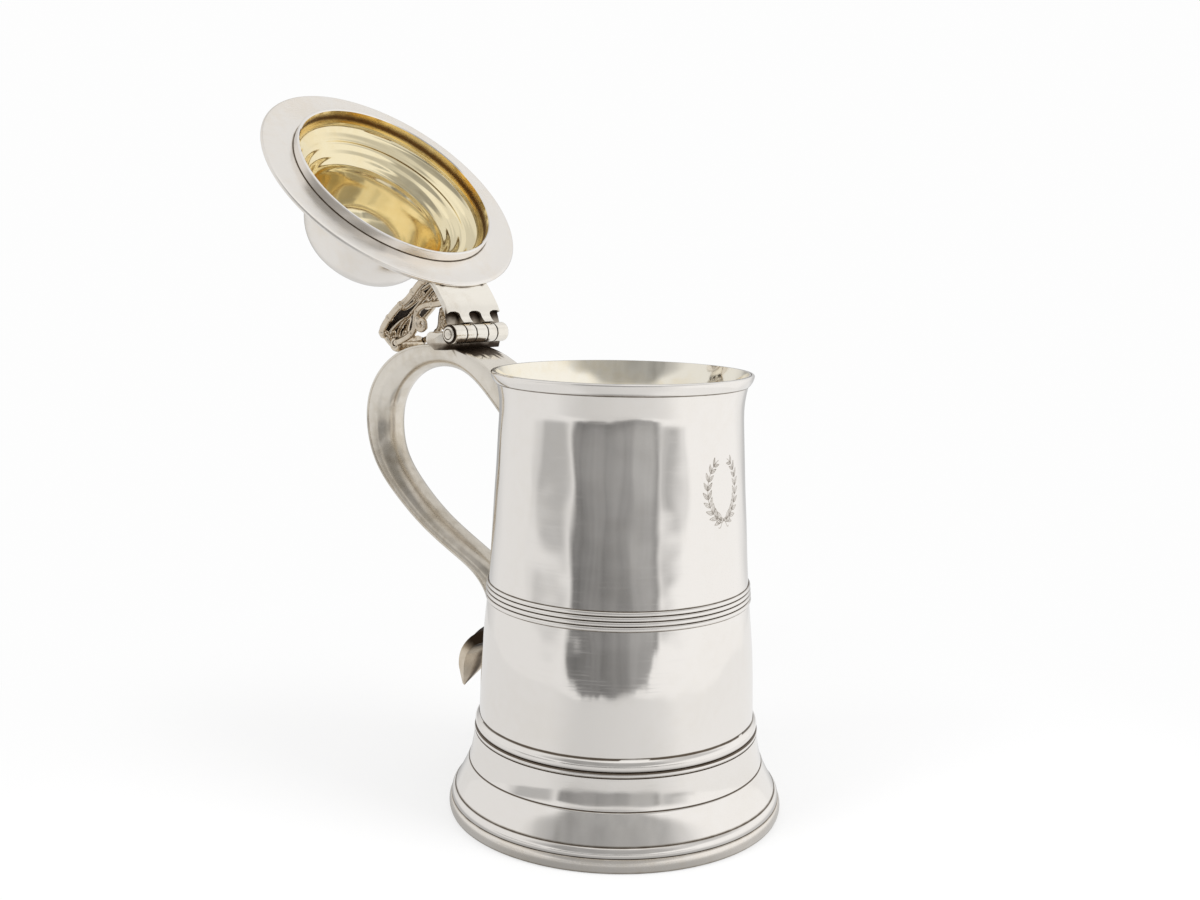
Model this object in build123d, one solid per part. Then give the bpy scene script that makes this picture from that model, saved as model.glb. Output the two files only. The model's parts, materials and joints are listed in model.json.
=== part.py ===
from build123d import *
import os
from functools import cache

# Lidded silver tankard with its lid open, in millimetres. +Z is up and the origin is the centre of
# the foot's underside. The handle reaches along -X and the hinge pin lies along Y, so a point of
# the side view is written (out, up): out from the barrel's axis towards the handle, up from the table.
# The lid is modelled shut and then turned open about the hinge pin.

# barrel
RIM_HEIGHT = 170.6
BARREL_BOTTOM = 31.0
BARREL_WALL = 0.85
BARREL_FOOT_RADIUS = 53.7
BARREL_SWELL_RADIUS = 52.6
BARREL_GIRDLE_RADIUS = 50.4
BARREL_NECK_RADIUS = 46.6
BARREL_LIP_RADIUS = 48.7
SWELL_HEIGHT = 60.0
GIRDLE_HEIGHT = 87.1
NECK_HEIGHT = 150.0
BASE_PLATE_THICKNESS = 0.9
BASE_PLATE_EDGE = 33.6
BASE_PLATE_RISE = 2.6

# applied mouldings
RIM_MOULDING_HEIGHT = 4.4
RIM_MOULDING_RADIUS = 49.9
GIRDLE_BAND_HEIGHT = 7.2
GIRDLE_BAND_PROUD = 0.7
GIRDLE_REEDS = 4
SKIRT_MOULDING_TOP = 38.0
SKIRT_MOULDING_PROUD = 0.9
SKIRT_MOULDING_REEDS = 3
MOULDING_ROOT = 0.6
SOLDER_GAP = 0.02

# foot
FOOT_RING_RADIUS = 65.2
FOOT_RING_WIDTH = 4.0
FOOT_RING_HEIGHT = 5.4
FOOT_MOULDING_HEIGHT = 3.5
FOOT_MOULDING_STEP = 1.0
SKIRT_STEP = 1.8
SKIRT_LIP = 1.5
SKIRT_WALL = 0.95
SKIRT_HOLLOW = 0.70
SKIRT_HOLLOW_HEIGHT = 0.484

# hinge
HINGE_OUT = 77.9
HINGE_RISE = 10.3
KNUCKLE_RADIUS = 4.0
KNUCKLE_BORE_PLAY = 0.05
HANDLE_KNUCKLE_LENGTH = 6.3
LID_KNUCKLE_LENGTH = 5.2
KNUCKLE_GAP = 0.3
PIN_RADIUS = 1.7
PIN_CAP_RADIUS = 3.1
PIN_CAP_THICKNESS = 1.3
SEAT_CLEARANCE = 0.45
SEAT_REACH = 14.2
SEAT_HEIGHT = 2.4
OPEN_ANGLE = 137.3

# handle
HANDLE_REACH = 138.0
HANDLE_ROOT_DROP = 14.0
HANDLE_CREST_DROP = 4.9
CREST_DIP = 1.4
ROOT_SINK = 13.0
HANDLE_REACH_HEIGHT = 138.0
HANDLE_JOINT_HEIGHT = 62.0
HANDLE_JOINT_DEPTH = 10.6
STRAP_WIDTH_TOP = 20.5
STRAP_WIDTH_LOW = 14.0
STRAP_THICKNESS = 1.4
STRAP_LIP = 0.5
SHELL_WALL = 0.9
SHELL_CUT_OVER = 0.9
SHELL_DEPTH_ROOT = 15.5
SHELL_DEPTH_CREST = 10.2
SHELL_DEPTH_BELLY = 12.0
SHELL_DEPTH_LOW = 7.6
SHELL_SIDE = 0.35
TAIL_REACH = 85.0
TAIL_DROP = 34.0
TAIL_HALF_WIDTH = 9.5
TAIL_THICKNESS = 1.7

# lid
LID_REST_GAP = 0.3
FLANGE_RADIUS = 59.8
FLANGE_THICKNESS = 1.3
EDGE_WIRE_WIDTH = 1.4
EDGE_WIRE_HEIGHT = 1.9
LID_WALL = 0.85
LID_STEP_FOOT_RADIUS = 49.6
LID_STEP_RADIUS = 46.2
LID_STEP_HEIGHT = 6.0
LID_STEPS = 4
DOME_RADIUS = 33.0
DOME_FOOT_HEIGHT = 13.0
DOME_HEIGHT = 44.5
BEZEL_RADIUS = 46.0
BEZEL_WALL = 1.3
BEZEL_DEPTH = 4.2
HINGE_PLATE_THICKNESS = 2.2
HINGE_PLATE_INNER = 47.5

# thumbpiece, in the shut lid's side view
THUMB_FOOT_OUT = 48.0
THUMB_HEIGHT = 42.0
THUMB_THICKNESS = 2.6
THUMB_HALF_WIDTH = 11.0
THUMB_ROLL_RADIUS = 3.9
THUMB_ROLL_HALF_WIDTH = 7.6
THUMB_REST_GAP = 0.35
LANDING_LEAN = -26.9
THUMB_SCROLL_OFFSET = 7.4
THUMB_SCROLL_THICKNESS = 3.2

FOOT_MOULDING_TOP = FOOT_RING_HEIGHT + FOOT_MOULDING_HEIGHT
FOOT_MOULDING_RADIUS = FOOT_RING_RADIUS - FOOT_MOULDING_STEP
SKIRT_LOW_RADIUS = FOOT_MOULDING_RADIUS - SKIRT_STEP
SKIRT_TOP_RADIUS = BARREL_FOOT_RADIUS + SKIRT_LIP
HINGE_HEIGHT = RIM_HEIGHT + HINGE_RISE
HINGE_POINT = (-HINGE_OUT, 0, HINGE_HEIGHT)
HINGE_AXIS = Axis(HINGE_POINT, (0, 1, 0))
FLANGE_PLANE = RIM_HEIGHT + LID_REST_GAP
LID_KNUCKLE_CENTRE = (HANDLE_KNUCKLE_LENGTH + LID_KNUCKLE_LENGTH) / 2 + KNUCKLE_GAP
SIDE_KNUCKLE_CENTRE = 2 * LID_KNUCKLE_CENTRE
HINGE_HALF_LENGTH = SIDE_KNUCKLE_CENTRE + HANDLE_KNUCKLE_LENGTH / 2
SIDE_VIEW = Plane(origin=(0, 0, 0), x_dir=(-1, 0, 0), z_dir=(0, 1, 0))
FRONT_VIEW = Plane.YZ


def lathe(*edges):
    """Turn a closed outline of (radius, height) edges round the barrel's axis."""
    return revolve(Plane.XZ * make_face(edges), Axis.Z)


def slab(outline, half_width, middle=0.0):
    """Extrude a side-view outline evenly to both sides of the plane y = middle."""
    return Pos(0, middle, 0) * extrude(SIDE_VIEW * make_face(outline), amount=half_width, both=True)


def rod(radius, length, middle=0.0):
    """A round bar on the hinge axis, centred at y = middle."""
    bar = Cylinder(radius, length)
    return Pos(-HINGE_OUT, middle, HINGE_HEIGHT) * Rot(90, 0, 0) * bar


def radius_at(outline, height):
    """Radius of a rising (radius, height) curve at one height, by halving."""
    low, high = 0.0, 1.0
    for _ in range(40):
        middle = (low + high) / 2
        if (outline @ middle).Y < height:
            low = middle
        else:
            high = middle
    return (outline @ low).X


def barrel_curve(inset=0.0):
    """Outer side of the barrel from its bottom to its lip, moved inwards by inset."""
    return Spline(
        (BARREL_FOOT_RADIUS - inset, BARREL_BOTTOM),
        (BARREL_SWELL_RADIUS - inset, SWELL_HEIGHT),
        (BARREL_GIRDLE_RADIUS - inset, GIRDLE_HEIGHT),
        (BARREL_NECK_RADIUS - inset, NECK_HEIGHT),
        (BARREL_LIP_RADIUS - inset, RIM_HEIGHT),
    )


@cache
def barrel_solid(inset=0.0):
    """The barrel's whole volume, for trimming what sits against its wall."""
    side = barrel_curve(inset)
    bottom = Line((0, BARREL_BOTTOM), side @ 0)
    top = Line(side @ 1, (0, RIM_HEIGHT))
    axis = Line((0, RIM_HEIGHT), (0, BARREL_BOTTOM))
    return lathe(bottom, side, top, axis)


def reeded_ring(low, high, count, proud):
    """Applied band of half-round reeds against the barrel, cut to the barrel's own side."""
    curve = barrel_curve()
    pitch = (high - low) / count
    edges = []
    point = (radius_at(curve, low) + proud / 2, low)
    root = radius_at(curve, low) - MOULDING_ROOT
    edges.append(Line((root, low), point))
    for reed in range(count):
        bottom = low + reed * pitch
        crown = (radius_at(curve, bottom + pitch / 2) + proud, bottom + pitch / 2)
        after = (radius_at(curve, bottom + pitch) + proud / 2, bottom + pitch)
        edges.append(ThreePointArc(point, crown, after))
        point = after
    root_top = radius_at(curve, high) - MOULDING_ROOT
    edges.append(Line(point, (root_top, high)))
    edges.append(Line((root_top, high), (root, low)))
    return lathe(*edges) - barrel_solid(-SOLDER_GAP)


def barrel():
    """Raised barrel wall, tapering to the neck and flaring at the lip."""
    outer = barrel_curve()
    inner = barrel_curve(BARREL_WALL)
    return lathe(outer, Line(outer @ 1, inner @ 1), inner, Line(inner @ 0, outer @ 0))


def base_plate():
    """Slightly domed bottom let into the barrel."""
    edge = BARREL_FOOT_RADIUS + BASE_PLATE_THICKNESS
    low = BASE_PLATE_EDGE
    high = low + BASE_PLATE_THICKNESS
    rise = BASE_PLATE_RISE
    under = Spline((edge, low), (edge / 2, low + 0.75 * rise), (0, low + rise), tangents=[(-1, 0.1), (-1, 0)])
    over = Spline((0, high + rise), (edge / 2, high + 0.75 * rise), (edge, high), tangents=[(1, 0), (1, -0.1)])
    plate = lathe(under, Line(under @ 1, over @ 0), over, Line(over @ 1, under @ 0))
    return plate & barrel_solid(BARREL_WALL)


def rim_moulding():
    """Applied lip moulding, flush with the top of the barrel."""
    low = RIM_HEIGHT - RIM_MOULDING_HEIGHT
    start = radius_at(barrel_curve(), low)
    root = start - MOULDING_ROOT
    side = ThreePointArc(
        (start + 0.35, low),
        (RIM_MOULDING_RADIUS - 0.25, low + 0.55 * RIM_MOULDING_HEIGHT),
        (RIM_MOULDING_RADIUS - 0.1, RIM_HEIGHT - 0.5),
    )
    crown = Line(side @ 1, (RIM_MOULDING_RADIUS - 0.5, RIM_HEIGHT))
    top = Line(crown @ 1, (root, RIM_HEIGHT))
    ring = lathe(Line((root, low), side @ 0), side, crown, top, Line(top @ 1, (root, low)))
    return ring - barrel_solid(-SOLDER_GAP)


def girdle_band():
    """Reeded girdle a little below half height."""
    half = GIRDLE_BAND_HEIGHT / 2
    return reeded_ring(GIRDLE_HEIGHT - half, GIRDLE_HEIGHT + half, GIRDLE_REEDS, GIRDLE_BAND_PROUD)


def skirt_moulding():
    """Reeded wire that covers the joint of barrel and foot."""
    return reeded_ring(BARREL_BOTTOM, SKIRT_MOULDING_TOP, SKIRT_MOULDING_REEDS, SKIRT_MOULDING_PROUD)


def skirt_curve(inset=0.0):
    """Spreading side of the foot from its low edge up to the barrel, moved inwards by inset."""
    middle_radius = SKIRT_LOW_RADIUS - SKIRT_HOLLOW * (SKIRT_LOW_RADIUS - SKIRT_TOP_RADIUS)
    middle_height = FOOT_MOULDING_TOP + SKIRT_HOLLOW_HEIGHT * (BARREL_BOTTOM - FOOT_MOULDING_TOP)
    return Spline(
        (SKIRT_LOW_RADIUS - inset, FOOT_MOULDING_TOP),
        (middle_radius - inset, middle_height),
        (SKIRT_TOP_RADIUS - inset, BARREL_BOTTOM),
    )


def foot_skirt():
    """Spread foot, raised from sheet, with a ledge that carries the barrel's bottom edge."""
    outer = skirt_curve()
    inner = skirt_curve(SKIRT_WALL)
    ledge_inner = BARREL_FOOT_RADIUS - 2 * BARREL_WALL
    ledge_low = BARREL_BOTTOM - SKIRT_WALL
    ledge_foot = (radius_at(inner, ledge_low), ledge_low)
    wall = lathe(outer, Line(outer @ 1, inner @ 1), inner, Line(inner @ 0, outer @ 0))
    ledge = lathe(
        Line(ledge_foot, (SKIRT_TOP_RADIUS, ledge_low)),
        Line((SKIRT_TOP_RADIUS, ledge_low), (SKIRT_TOP_RADIUS, BARREL_BOTTOM)),
        Line((SKIRT_TOP_RADIUS, BARREL_BOTTOM), (ledge_inner, BARREL_BOTTOM)),
        Line((ledge_inner, BARREL_BOTTOM), (ledge_inner, ledge_low)),
        Line((ledge_inner, ledge_low), ledge_foot),
    )
    return wall + ledge


def foot_moulding():
    """Quarter-round moulding between the skirt and the foot ring."""
    inner = SKIRT_LOW_RADIUS - SKIRT_WALL
    side = ThreePointArc(
        (FOOT_MOULDING_RADIUS, FOOT_RING_HEIGHT),
        (FOOT_MOULDING_RADIUS - 0.3, (FOOT_RING_HEIGHT + FOOT_MOULDING_TOP) / 2 + 0.3),
        (SKIRT_LOW_RADIUS + 0.3, FOOT_MOULDING_TOP),
    )
    return lathe(
        Line((inner, FOOT_RING_HEIGHT), side @ 0),
        side,
        Line(side @ 1, (inner, FOOT_MOULDING_TOP)),
        Line((inner, FOOT_MOULDING_TOP), (inner, FOOT_RING_HEIGHT)),
    )


def foot_ring():
    """Heavy ring that the tankard stands on."""
    inner = FOOT_RING_RADIUS - FOOT_RING_WIDTH
    side = ThreePointArc(
        (FOOT_RING_RADIUS - 0.4, 0),
        (FOOT_RING_RADIUS, FOOT_RING_HEIGHT / 3),
        (FOOT_RING_RADIUS - 0.5, FOOT_RING_HEIGHT),
    )
    return lathe(
        Line((inner, 0), side @ 0),
        side,
        Line(side @ 1, (inner, FOOT_RING_HEIGHT)),
        Line((inner, FOOT_RING_HEIGHT), (inner, 0)),
    )


def between(start, end, across, along):
    """Point of the side view at two shares, out and up, of the way from start to end."""
    return start[0] + across * (end[0] - start[0]), start[1] + along * (end[1] - start[1])


def thumb_landing():
    """Point of the strap under the thumbpiece's roll when the lid is open, and the roll's centre there."""
    shut_out, shut_up = thumb_roll_centre()
    turned = Vector(shut_out - HINGE_OUT, shut_up - HINGE_HEIGHT).rotate(Axis.Z, -OPEN_ANGLE)
    reach = THUMB_ROLL_RADIUS + THUMB_REST_GAP
    drop = Vector(0, -reach).rotate(Axis.Z, LANDING_LEAN)
    landing = turned + drop
    return HINGE_OUT + landing.X, HINGE_HEIGHT + landing.Y


def handle_stations():
    """Points of the strap's outer side with the shell's depth there, from the root to the low joint."""
    root = (BARREL_NECK_RADIUS, RIM_HEIGHT - HANDLE_ROOT_DROP)
    hinge = (HINGE_OUT, HINGE_HEIGHT - HANDLE_CREST_DROP)
    landing = thumb_landing()
    reach = (HANDLE_REACH, HANDLE_REACH_HEIGHT)
    joint_radius = radius_at(barrel_curve(), HANDLE_JOINT_HEIGHT)
    joint = (joint_radius + HANDLE_JOINT_DEPTH, HANDLE_JOINT_HEIGHT)
    inside = (root[0] - ROOT_SINK, root[1] - ROOT_SINK * 0.88)
    return [
        (inside, SHELL_DEPTH_ROOT + 1.0),
        (between(root, hinge, -0.02, -0.03), SHELL_DEPTH_ROOT),
        (between(root, hinge, 0.46, 0.58), SHELL_DEPTH_ROOT - 1.2),
        ((hinge[0], hinge[1] - CREST_DIP), SHELL_DEPTH_CREST + 1.2),
        (between(hinge, landing, 0.40, 0.0), SHELL_DEPTH_CREST),
        (between(hinge, landing, 0.85, 0.54), SHELL_DEPTH_CREST + 0.6),
        (between(landing, reach, 0.45, 0.19), SHELL_DEPTH_BELLY - 0.4),
        (between(landing, reach, 0.90, 0.57), SHELL_DEPTH_BELLY),
        (reach, SHELL_DEPTH_BELLY - 0.4),
        (between(joint, reach, 0.936, 0.793), SHELL_DEPTH_LOW + 2.6),
        (between(joint, reach, 0.758, 0.605), SHELL_DEPTH_LOW + 1.2),
        (between(joint, reach, 0.504, 0.434), SHELL_DEPTH_LOW + 0.3),
        (between(joint, reach, 0.253, 0.313), SHELL_DEPTH_LOW),
        (between(joint, reach, 0.096, 0.222), SHELL_DEPTH_LOW + 0.9),
        (between(joint, reach, 0.021, 0.118), SHELL_DEPTH_LOW + 3.4),
        (joint, HANDLE_JOINT_DEPTH + 1.0),
    ]


def handle_sections(outline):
    """Loft one outline per station, each square to the strap; outline(width, depth) is a face."""
    stations = handle_stations()
    rail = Spline(*[point for point, _ in stations])
    faces = []
    for number, (point, depth) in enumerate(stations):
        along = rail.tangent_at(rail.param_at_point(Vector(*point)))
        share = number / (len(stations) - 1)
        width = STRAP_WIDTH_TOP + (STRAP_WIDTH_LOW - STRAP_WIDTH_TOP) * share
        place = Plane(
            origin=(-point[0], 0, point[1]),
            x_dir=(0, -1, 0),
            z_dir=(-along.X, 0, along.Y),
        )
        faces.append(place * outline(width, depth))
    return loft(faces)


def strap_outline(width, depth):
    """Flat band, a little wider than the shell."""
    half = width / 2
    return make_face(
        Polyline((-half, 0), (half, 0), (half, -STRAP_THICKNESS), (-half, -STRAP_THICKNESS), close=True)
    )


def shell_outline(inset=0.0, open_depth=0.0):
    """Make the outline of the shell's rounded half, moved inwards by inset."""

    def outline(width, depth):
        half = width / 2 - STRAP_LIP - inset
        top = -STRAP_THICKNESS + open_depth
        shoulder = -STRAP_THICKNESS - SHELL_SIDE * (depth - STRAP_THICKNESS)
        low = -(depth - inset)
        return make_face(
            [
                Line((-half, top), (half, top)),
                Line((half, top), (half, shoulder)),
                ThreePointArc((half, shoulder), (0, low), (-half, shoulder)),
                Line((-half, shoulder), (-half, top)),
            ]
        )

    return outline


@cache
def handle_strap():
    """Outer flat face of the hollow handle, cut to the barrel."""
    return main_solid(handle_sections(strap_outline) - barrel_solid())


@cache
def handle_shell():
    """Rounded inner half of the hollow handle, a trough soldered under the strap."""
    hollow = handle_sections(shell_outline(SHELL_WALL, SHELL_CUT_OVER))
    return main_solid(handle_sections(shell_outline()) - hollow - barrel_solid())


def main_solid(shape):
    """The largest solid of a cut shape, without crumbs on the far side of the cut."""
    return max(shape.solids(), key=lambda solid: solid.volume)


def ribbon(points, half_widths):
    """Side-view band about a spline through points, with a half width at each point."""
    middle = Spline(*points)
    left, right = [], []
    for point, half in zip(points, half_widths):
        along = middle.tangent_at(middle.param_at_point(Vector(*point)))
        left.append((point[0] - along.Y * half, point[1] + along.X * half))
        right.append((point[0] + along.Y * half, point[1] - along.X * half))
    upper = Spline(*left)
    lower = Spline(*right)
    return [upper, Line(upper @ 1, lower @ 1), lower, Line(lower @ 0, upper @ 0)]


def handle_tail():
    """Flared shield that ends the handle below its lower joint."""
    joint = radius_at(barrel_curve(), HANDLE_JOINT_HEIGHT)
    out = joint + HANDLE_JOINT_DEPTH
    up = HANDLE_JOINT_HEIGHT
    start = (out, up)
    tip = (TAIL_REACH, up - TAIL_DROP)
    thick = TAIL_THICKNESS
    band = ribbon(
        [
            (joint - 2.0, up - 0.191 * TAIL_DROP),
            (joint + 0.67 * HANDLE_JOINT_DEPTH, up - 0.194 * TAIL_DROP),
            between(start, tip, 0.251, 0.247),
            between(start, tip, 0.524, 0.456),
            between(start, tip, 0.730, 0.735),
            tip,
        ],
        [2.35 * thick, 2.1 * thick, 1.5 * thick, thick, thick, 0.47 * thick],
    )
    solid = slab(band, TAIL_HALF_WIDTH)
    wide = TAIL_HALF_WIDTH
    waist = STRAP_WIDTH_LOW / 2
    edge = [
        (waist, up + 0.06 * TAIL_DROP),
        (waist - 0.6, up - 0.265 * TAIL_DROP),
        (wide, up - 0.441 * TAIL_DROP),
        (wide * 0.86, up - 0.735 * TAIL_DROP),
        (0, up - 1.044 * TAIL_DROP),
    ]
    shield_right = Spline(*edge)
    shield_left = Spline(*[(-across, height) for across, height in reversed(edge)])
    shield = make_face([shield_right, shield_left, Line(shield_left @ 1, shield_right @ 0)])
    mask = Pos(-TAIL_REACH - 5, 0, 0) * extrude(FRONT_VIEW * shield, amount=TAIL_REACH)
    return main_solid((solid & mask) - barrel_solid() - handle_strap() - handle_shell())


def knuckle(length, middle, bore):
    """One tube of the hinge."""
    return rod(KNUCKLE_RADIUS, length, middle) - rod(bore, length + 1, middle)


def handle_knuckle(middle):
    """Hinge tube soldered to the handle, closed tight on the pin."""
    return knuckle(HANDLE_KNUCKLE_LENGTH, middle, PIN_RADIUS)


def lid_knuckle(middle):
    """Hinge tube soldered to the lid, running on the pin."""
    return knuckle(LID_KNUCKLE_LENGTH, middle, PIN_RADIUS + KNUCKLE_BORE_PLAY)


def hinge_pin():
    """Pin through all five tubes."""
    return rod(PIN_RADIUS, 2 * HINGE_HALF_LENGTH)


def pin_cap(side):
    """Turned head on one end of the pin: a flat ring and a low button."""
    flat = rod(PIN_CAP_RADIUS, PIN_CAP_THICKNESS / 2, side * (HINGE_HALF_LENGTH + PIN_CAP_THICKNESS / 4))
    button = rod(
        PIN_CAP_RADIUS * 0.68,
        PIN_CAP_THICKNESS / 2,
        side * (HINGE_HALF_LENGTH + 0.75 * PIN_CAP_THICKNESS),
    )
    return flat + button


def hinge_seat():
    """Cast bed of the hinge on the handle, with a rounded heel behind the tubes."""
    up = HINGE_HEIGHT
    front = HINGE_OUT - 0.7 * KNUCKLE_RADIUS
    heel = HINGE_OUT + SEAT_REACH
    under = HINGE_HEIGHT - KNUCKLE_RADIUS - 5.0
    crown = up + SEAT_HEIGHT
    outline = [
        Line((front, under), (front, up - 2.0)),
        Line((front, up - 2.0), (HINGE_OUT + 3.6, up - 1.6)),
        ThreePointArc((HINGE_OUT + 3.6, up - 1.6), (HINGE_OUT + 5.6, up + 1.0), (heel - 5.4, crown - 0.4)),
        ThreePointArc((heel - 5.4, crown - 0.4), (heel - 0.5, crown - 1.6), (heel - 0.9, up - 3.6)),
        Line((heel - 0.9, up - 3.6), (heel - 2.4, under)),
        Line((heel - 2.4, under), (front, under)),
    ]
    bed = slab(outline, HINGE_HALF_LENGTH)
    bed -= rod(KNUCKLE_RADIUS, 2 * HINGE_HALF_LENGTH + 2)
    for side in (-1, 1):
        clear = LID_KNUCKLE_LENGTH + 2 * KNUCKLE_GAP
        bed -= rod(KNUCKLE_RADIUS + SEAT_CLEARANCE, clear, side * LID_KNUCKLE_CENTRE)
    return main_solid(bed - handle_sections(strap_outline) - handle_sections(shell_outline()))


def dome_curve(inset=0.0):
    """Dome of the lid from its crown down to the steps, moved inwards by inset."""
    base = FLANGE_PLANE
    foot = DOME_FOOT_HEIGHT
    rise = DOME_HEIGHT - foot
    radius = DOME_RADIUS
    return Spline(
        (0, base + DOME_HEIGHT - inset),
        (radius * 0.36 - inset * 0.3, base + foot + 0.955 * rise - inset),
        (radius * 0.68 - inset * 0.7, base + foot + 0.795 * rise - inset * 0.7),
        (radius * 0.87 - inset, base + foot + 0.49 * rise - inset * 0.2),
        (radius - inset, base + foot - inset * 0.5),
        tangents=[(1, 0), (0.25, -1)],
    )


def step_points(inset=0.0):
    """Stepped shoulder between the dome and the flange, from the dome outwards."""
    base = FLANGE_PLANE
    run = (LID_STEP_RADIUS - DOME_RADIUS) / LID_STEPS
    fall = (DOME_FOOT_HEIGHT - LID_STEP_HEIGHT) / LID_STEPS
    points = []
    for step in range(LID_STEPS):
        outer = DOME_RADIUS + (step + 1) * run
        high = DOME_FOOT_HEIGHT - step * fall - 0.45 * fall
        low = DOME_FOOT_HEIGHT - (step + 1) * fall
        points.append((outer - inset, base + high - inset * 0.5))
        points.append((outer + 0.25 - inset, base + low - inset * 0.5))
    return points


def lid_cover():
    """Raised lid: dome, stepped shoulder and flat flange in one sheet."""
    outer_dome = dome_curve()
    inner_dome = dome_curve(LID_WALL)
    outer = [outer_dome @ 1] + [Vector(*point) for point in step_points()]
    edge = FLANGE_RADIUS - EDGE_WIRE_WIDTH
    throat = BEZEL_RADIUS - BEZEL_WALL
    base = FLANGE_PLANE
    outer.append(Vector(LID_STEP_FOOT_RADIUS, base + 2 * FLANGE_THICKNESS * 0.95))
    outer.append(Vector(edge, base + FLANGE_THICKNESS))
    outer.append(Vector(edge, base))
    outer.append(Vector(throat, base))
    inner = [inner_dome @ 1] + [Vector(*point) for point in step_points(LID_WALL)]
    inner[-1] = Vector(throat, inner[-1].Y)
    run = [(point.X, point.Y) for point in outer + inner[::-1]]
    return lathe(
        outer_dome,
        Polyline(*run),
        inner_dome,
        Line(inner_dome @ 0, outer_dome @ 0),
    )


@cache
def lid_mass_solid():
    """The lid's whole volume down to the flange's underside, for trimming what stands on it."""
    dome = dome_curve()
    base = FLANGE_PLANE
    wire_in = FLANGE_RADIUS - EDGE_WIRE_WIDTH
    points = [dome @ 1] + [Vector(*point) for point in step_points()]
    points.append(Vector(LID_STEP_FOOT_RADIUS, base + 2 * FLANGE_THICKNESS * 0.95))
    points.append(Vector(wire_in, base + FLANGE_THICKNESS))
    points.append(Vector(wire_in, base + EDGE_WIRE_HEIGHT))
    points.append(Vector(FLANGE_RADIUS, base + EDGE_WIRE_HEIGHT))
    points.append(Vector(FLANGE_RADIUS, base))
    points.append(Vector(0, base))
    run = [(point.X, point.Y) for point in points]
    return lathe(dome, Polyline(*run), Line((0, base), dome @ 0))


def lid_edge_wire():
    """Wire soldered round the flange's edge."""
    inner = FLANGE_RADIUS - EDGE_WIRE_WIDTH
    low = FLANGE_PLANE
    high = low + EDGE_WIRE_HEIGHT
    side = ThreePointArc((FLANGE_RADIUS - 0.35, low), (FLANGE_RADIUS, (low + high) / 2), (FLANGE_RADIUS - 0.35, high))
    return lathe(
        Line((inner, low), side @ 0),
        side,
        Line(side @ 1, (inner, high)),
        Line((inner, high), (inner, low)),
    )


def bezel_ring():
    """Ring under the flange that drops inside the rim when the lid is shut."""
    inner = BEZEL_RADIUS - BEZEL_WALL
    low = FLANGE_PLANE - BEZEL_DEPTH
    return lathe(
        Polyline(
            (inner, FLANGE_PLANE),
            (BEZEL_RADIUS, FLANGE_PLANE),
            (BEZEL_RADIUS, low + 0.4),
            (BEZEL_RADIUS - 0.3, low),
            (inner + 0.2, low),
            (inner, low + 0.3),
            close=True,
        )
    )


def hinge_plate_points():
    """Middle line of the hinge plate, from the lid's shoulder out to the tubes."""
    base = FLANGE_PLANE
    half = HINGE_PLATE_THICKNESS / 2
    return [
        (HINGE_PLATE_INNER, base + 3.6 + half),
        (FLANGE_RADIUS - 6.0, base + EDGE_WIRE_HEIGHT + 0.5 * half),
        (FLANGE_RADIUS + 2.0, base + EDGE_WIRE_HEIGHT + half),
        (HINGE_OUT - 8.0, HINGE_HEIGHT - 5.0),
        (HINGE_OUT - 3.2, HINGE_HEIGHT - 2.4),
    ]


@cache
def hinge_plate():
    """Leaf soldered over the flange, notched round the handle's tubes."""
    half = HINGE_PLATE_THICKNESS / 2
    points = hinge_plate_points()
    plate = slab(ribbon(points, [half] * len(points)), HINGE_HALF_LENGTH - 0.3)
    plate -= rod(KNUCKLE_RADIUS, 2 * HINGE_HALF_LENGTH)
    for middle in (-SIDE_KNUCKLE_CENTRE, 0, SIDE_KNUCKLE_CENTRE):
        plate -= rod(KNUCKLE_RADIUS + 0.6, HANDLE_KNUCKLE_LENGTH + 2 * KNUCKLE_GAP, middle)
    return main_solid(plate - lid_mass_solid())


def thumb_side_points():
    """Middle line of the thumbpiece's leaf in the shut lid's side view."""
    out = THUMB_FOOT_OUT
    up = FLANGE_PLANE
    top = up + THUMB_HEIGHT
    return [
        (out + 3.0, up + 1.0),
        (out - 0.6, up + 10.0),
        (out - 2.6, up + 0.50 * THUMB_HEIGHT),
        (out - 4.0, up + 0.80 * THUMB_HEIGHT),
        (out - 2.4, top + 4.4),
        (out + 2.6, top + 4.9),
    ]


@cache
def thumb_leaf():
    """Pierced leaf of the thumbpiece, with scrolled edges."""
    half = THUMB_THICKNESS / 2
    widths = [half * 1.2, half, half, half, half, half * 0.7]
    band = slab(ribbon(thumb_side_points(), widths), THUMB_HALF_WIDTH + 1)
    up = FLANGE_PLANE
    wide = THUMB_HALF_WIDTH
    tall = THUMB_HEIGHT

    def edge(side):
        return Spline(
            (side * wide * 0.80, up - 2.0),
            (side * wide * 0.98, up + 0.20 * tall),
            (side * wide * 0.62, up + 0.42 * tall),
            (side * wide * 0.95, up + 0.68 * tall),
            (side * wide * 0.72, up + 0.93 * tall),
            (side * wide * 0.46, up + 1.18 * tall),
        )

    right = edge(1)
    left = edge(-1)
    mask_face = make_face([right, Line(right @ 1, left @ 1), left, Line(left @ 0, right @ 0)])
    for side in (-1, 1):
        mask_face -= Pos(side * wide * 0.50, up + 0.245 * tall) * Rot(0, 0, side * -14) * Ellipse(2.0, 3.5)
        mask_face -= Pos(side * wide * 0.45, up + 0.655 * tall) * Rot(0, 0, side * 16) * Ellipse(2.2, 3.9)
        mask_face -= Pos(side * wide * 0.33, up + 0.90 * tall) * Rot(0, 0, side * -12) * Ellipse(1.2, 2.2)
    mask_face -= Pos(0, up + 0.44 * tall) * Ellipse(1.9, 3.2)
    mask = Pos(-THUMB_FOOT_OUT - 12, 0, 0) * extrude(FRONT_VIEW * mask_face, amount=24)
    return main_solid((band & mask) - lid_mass_solid() - hinge_plate())


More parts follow.
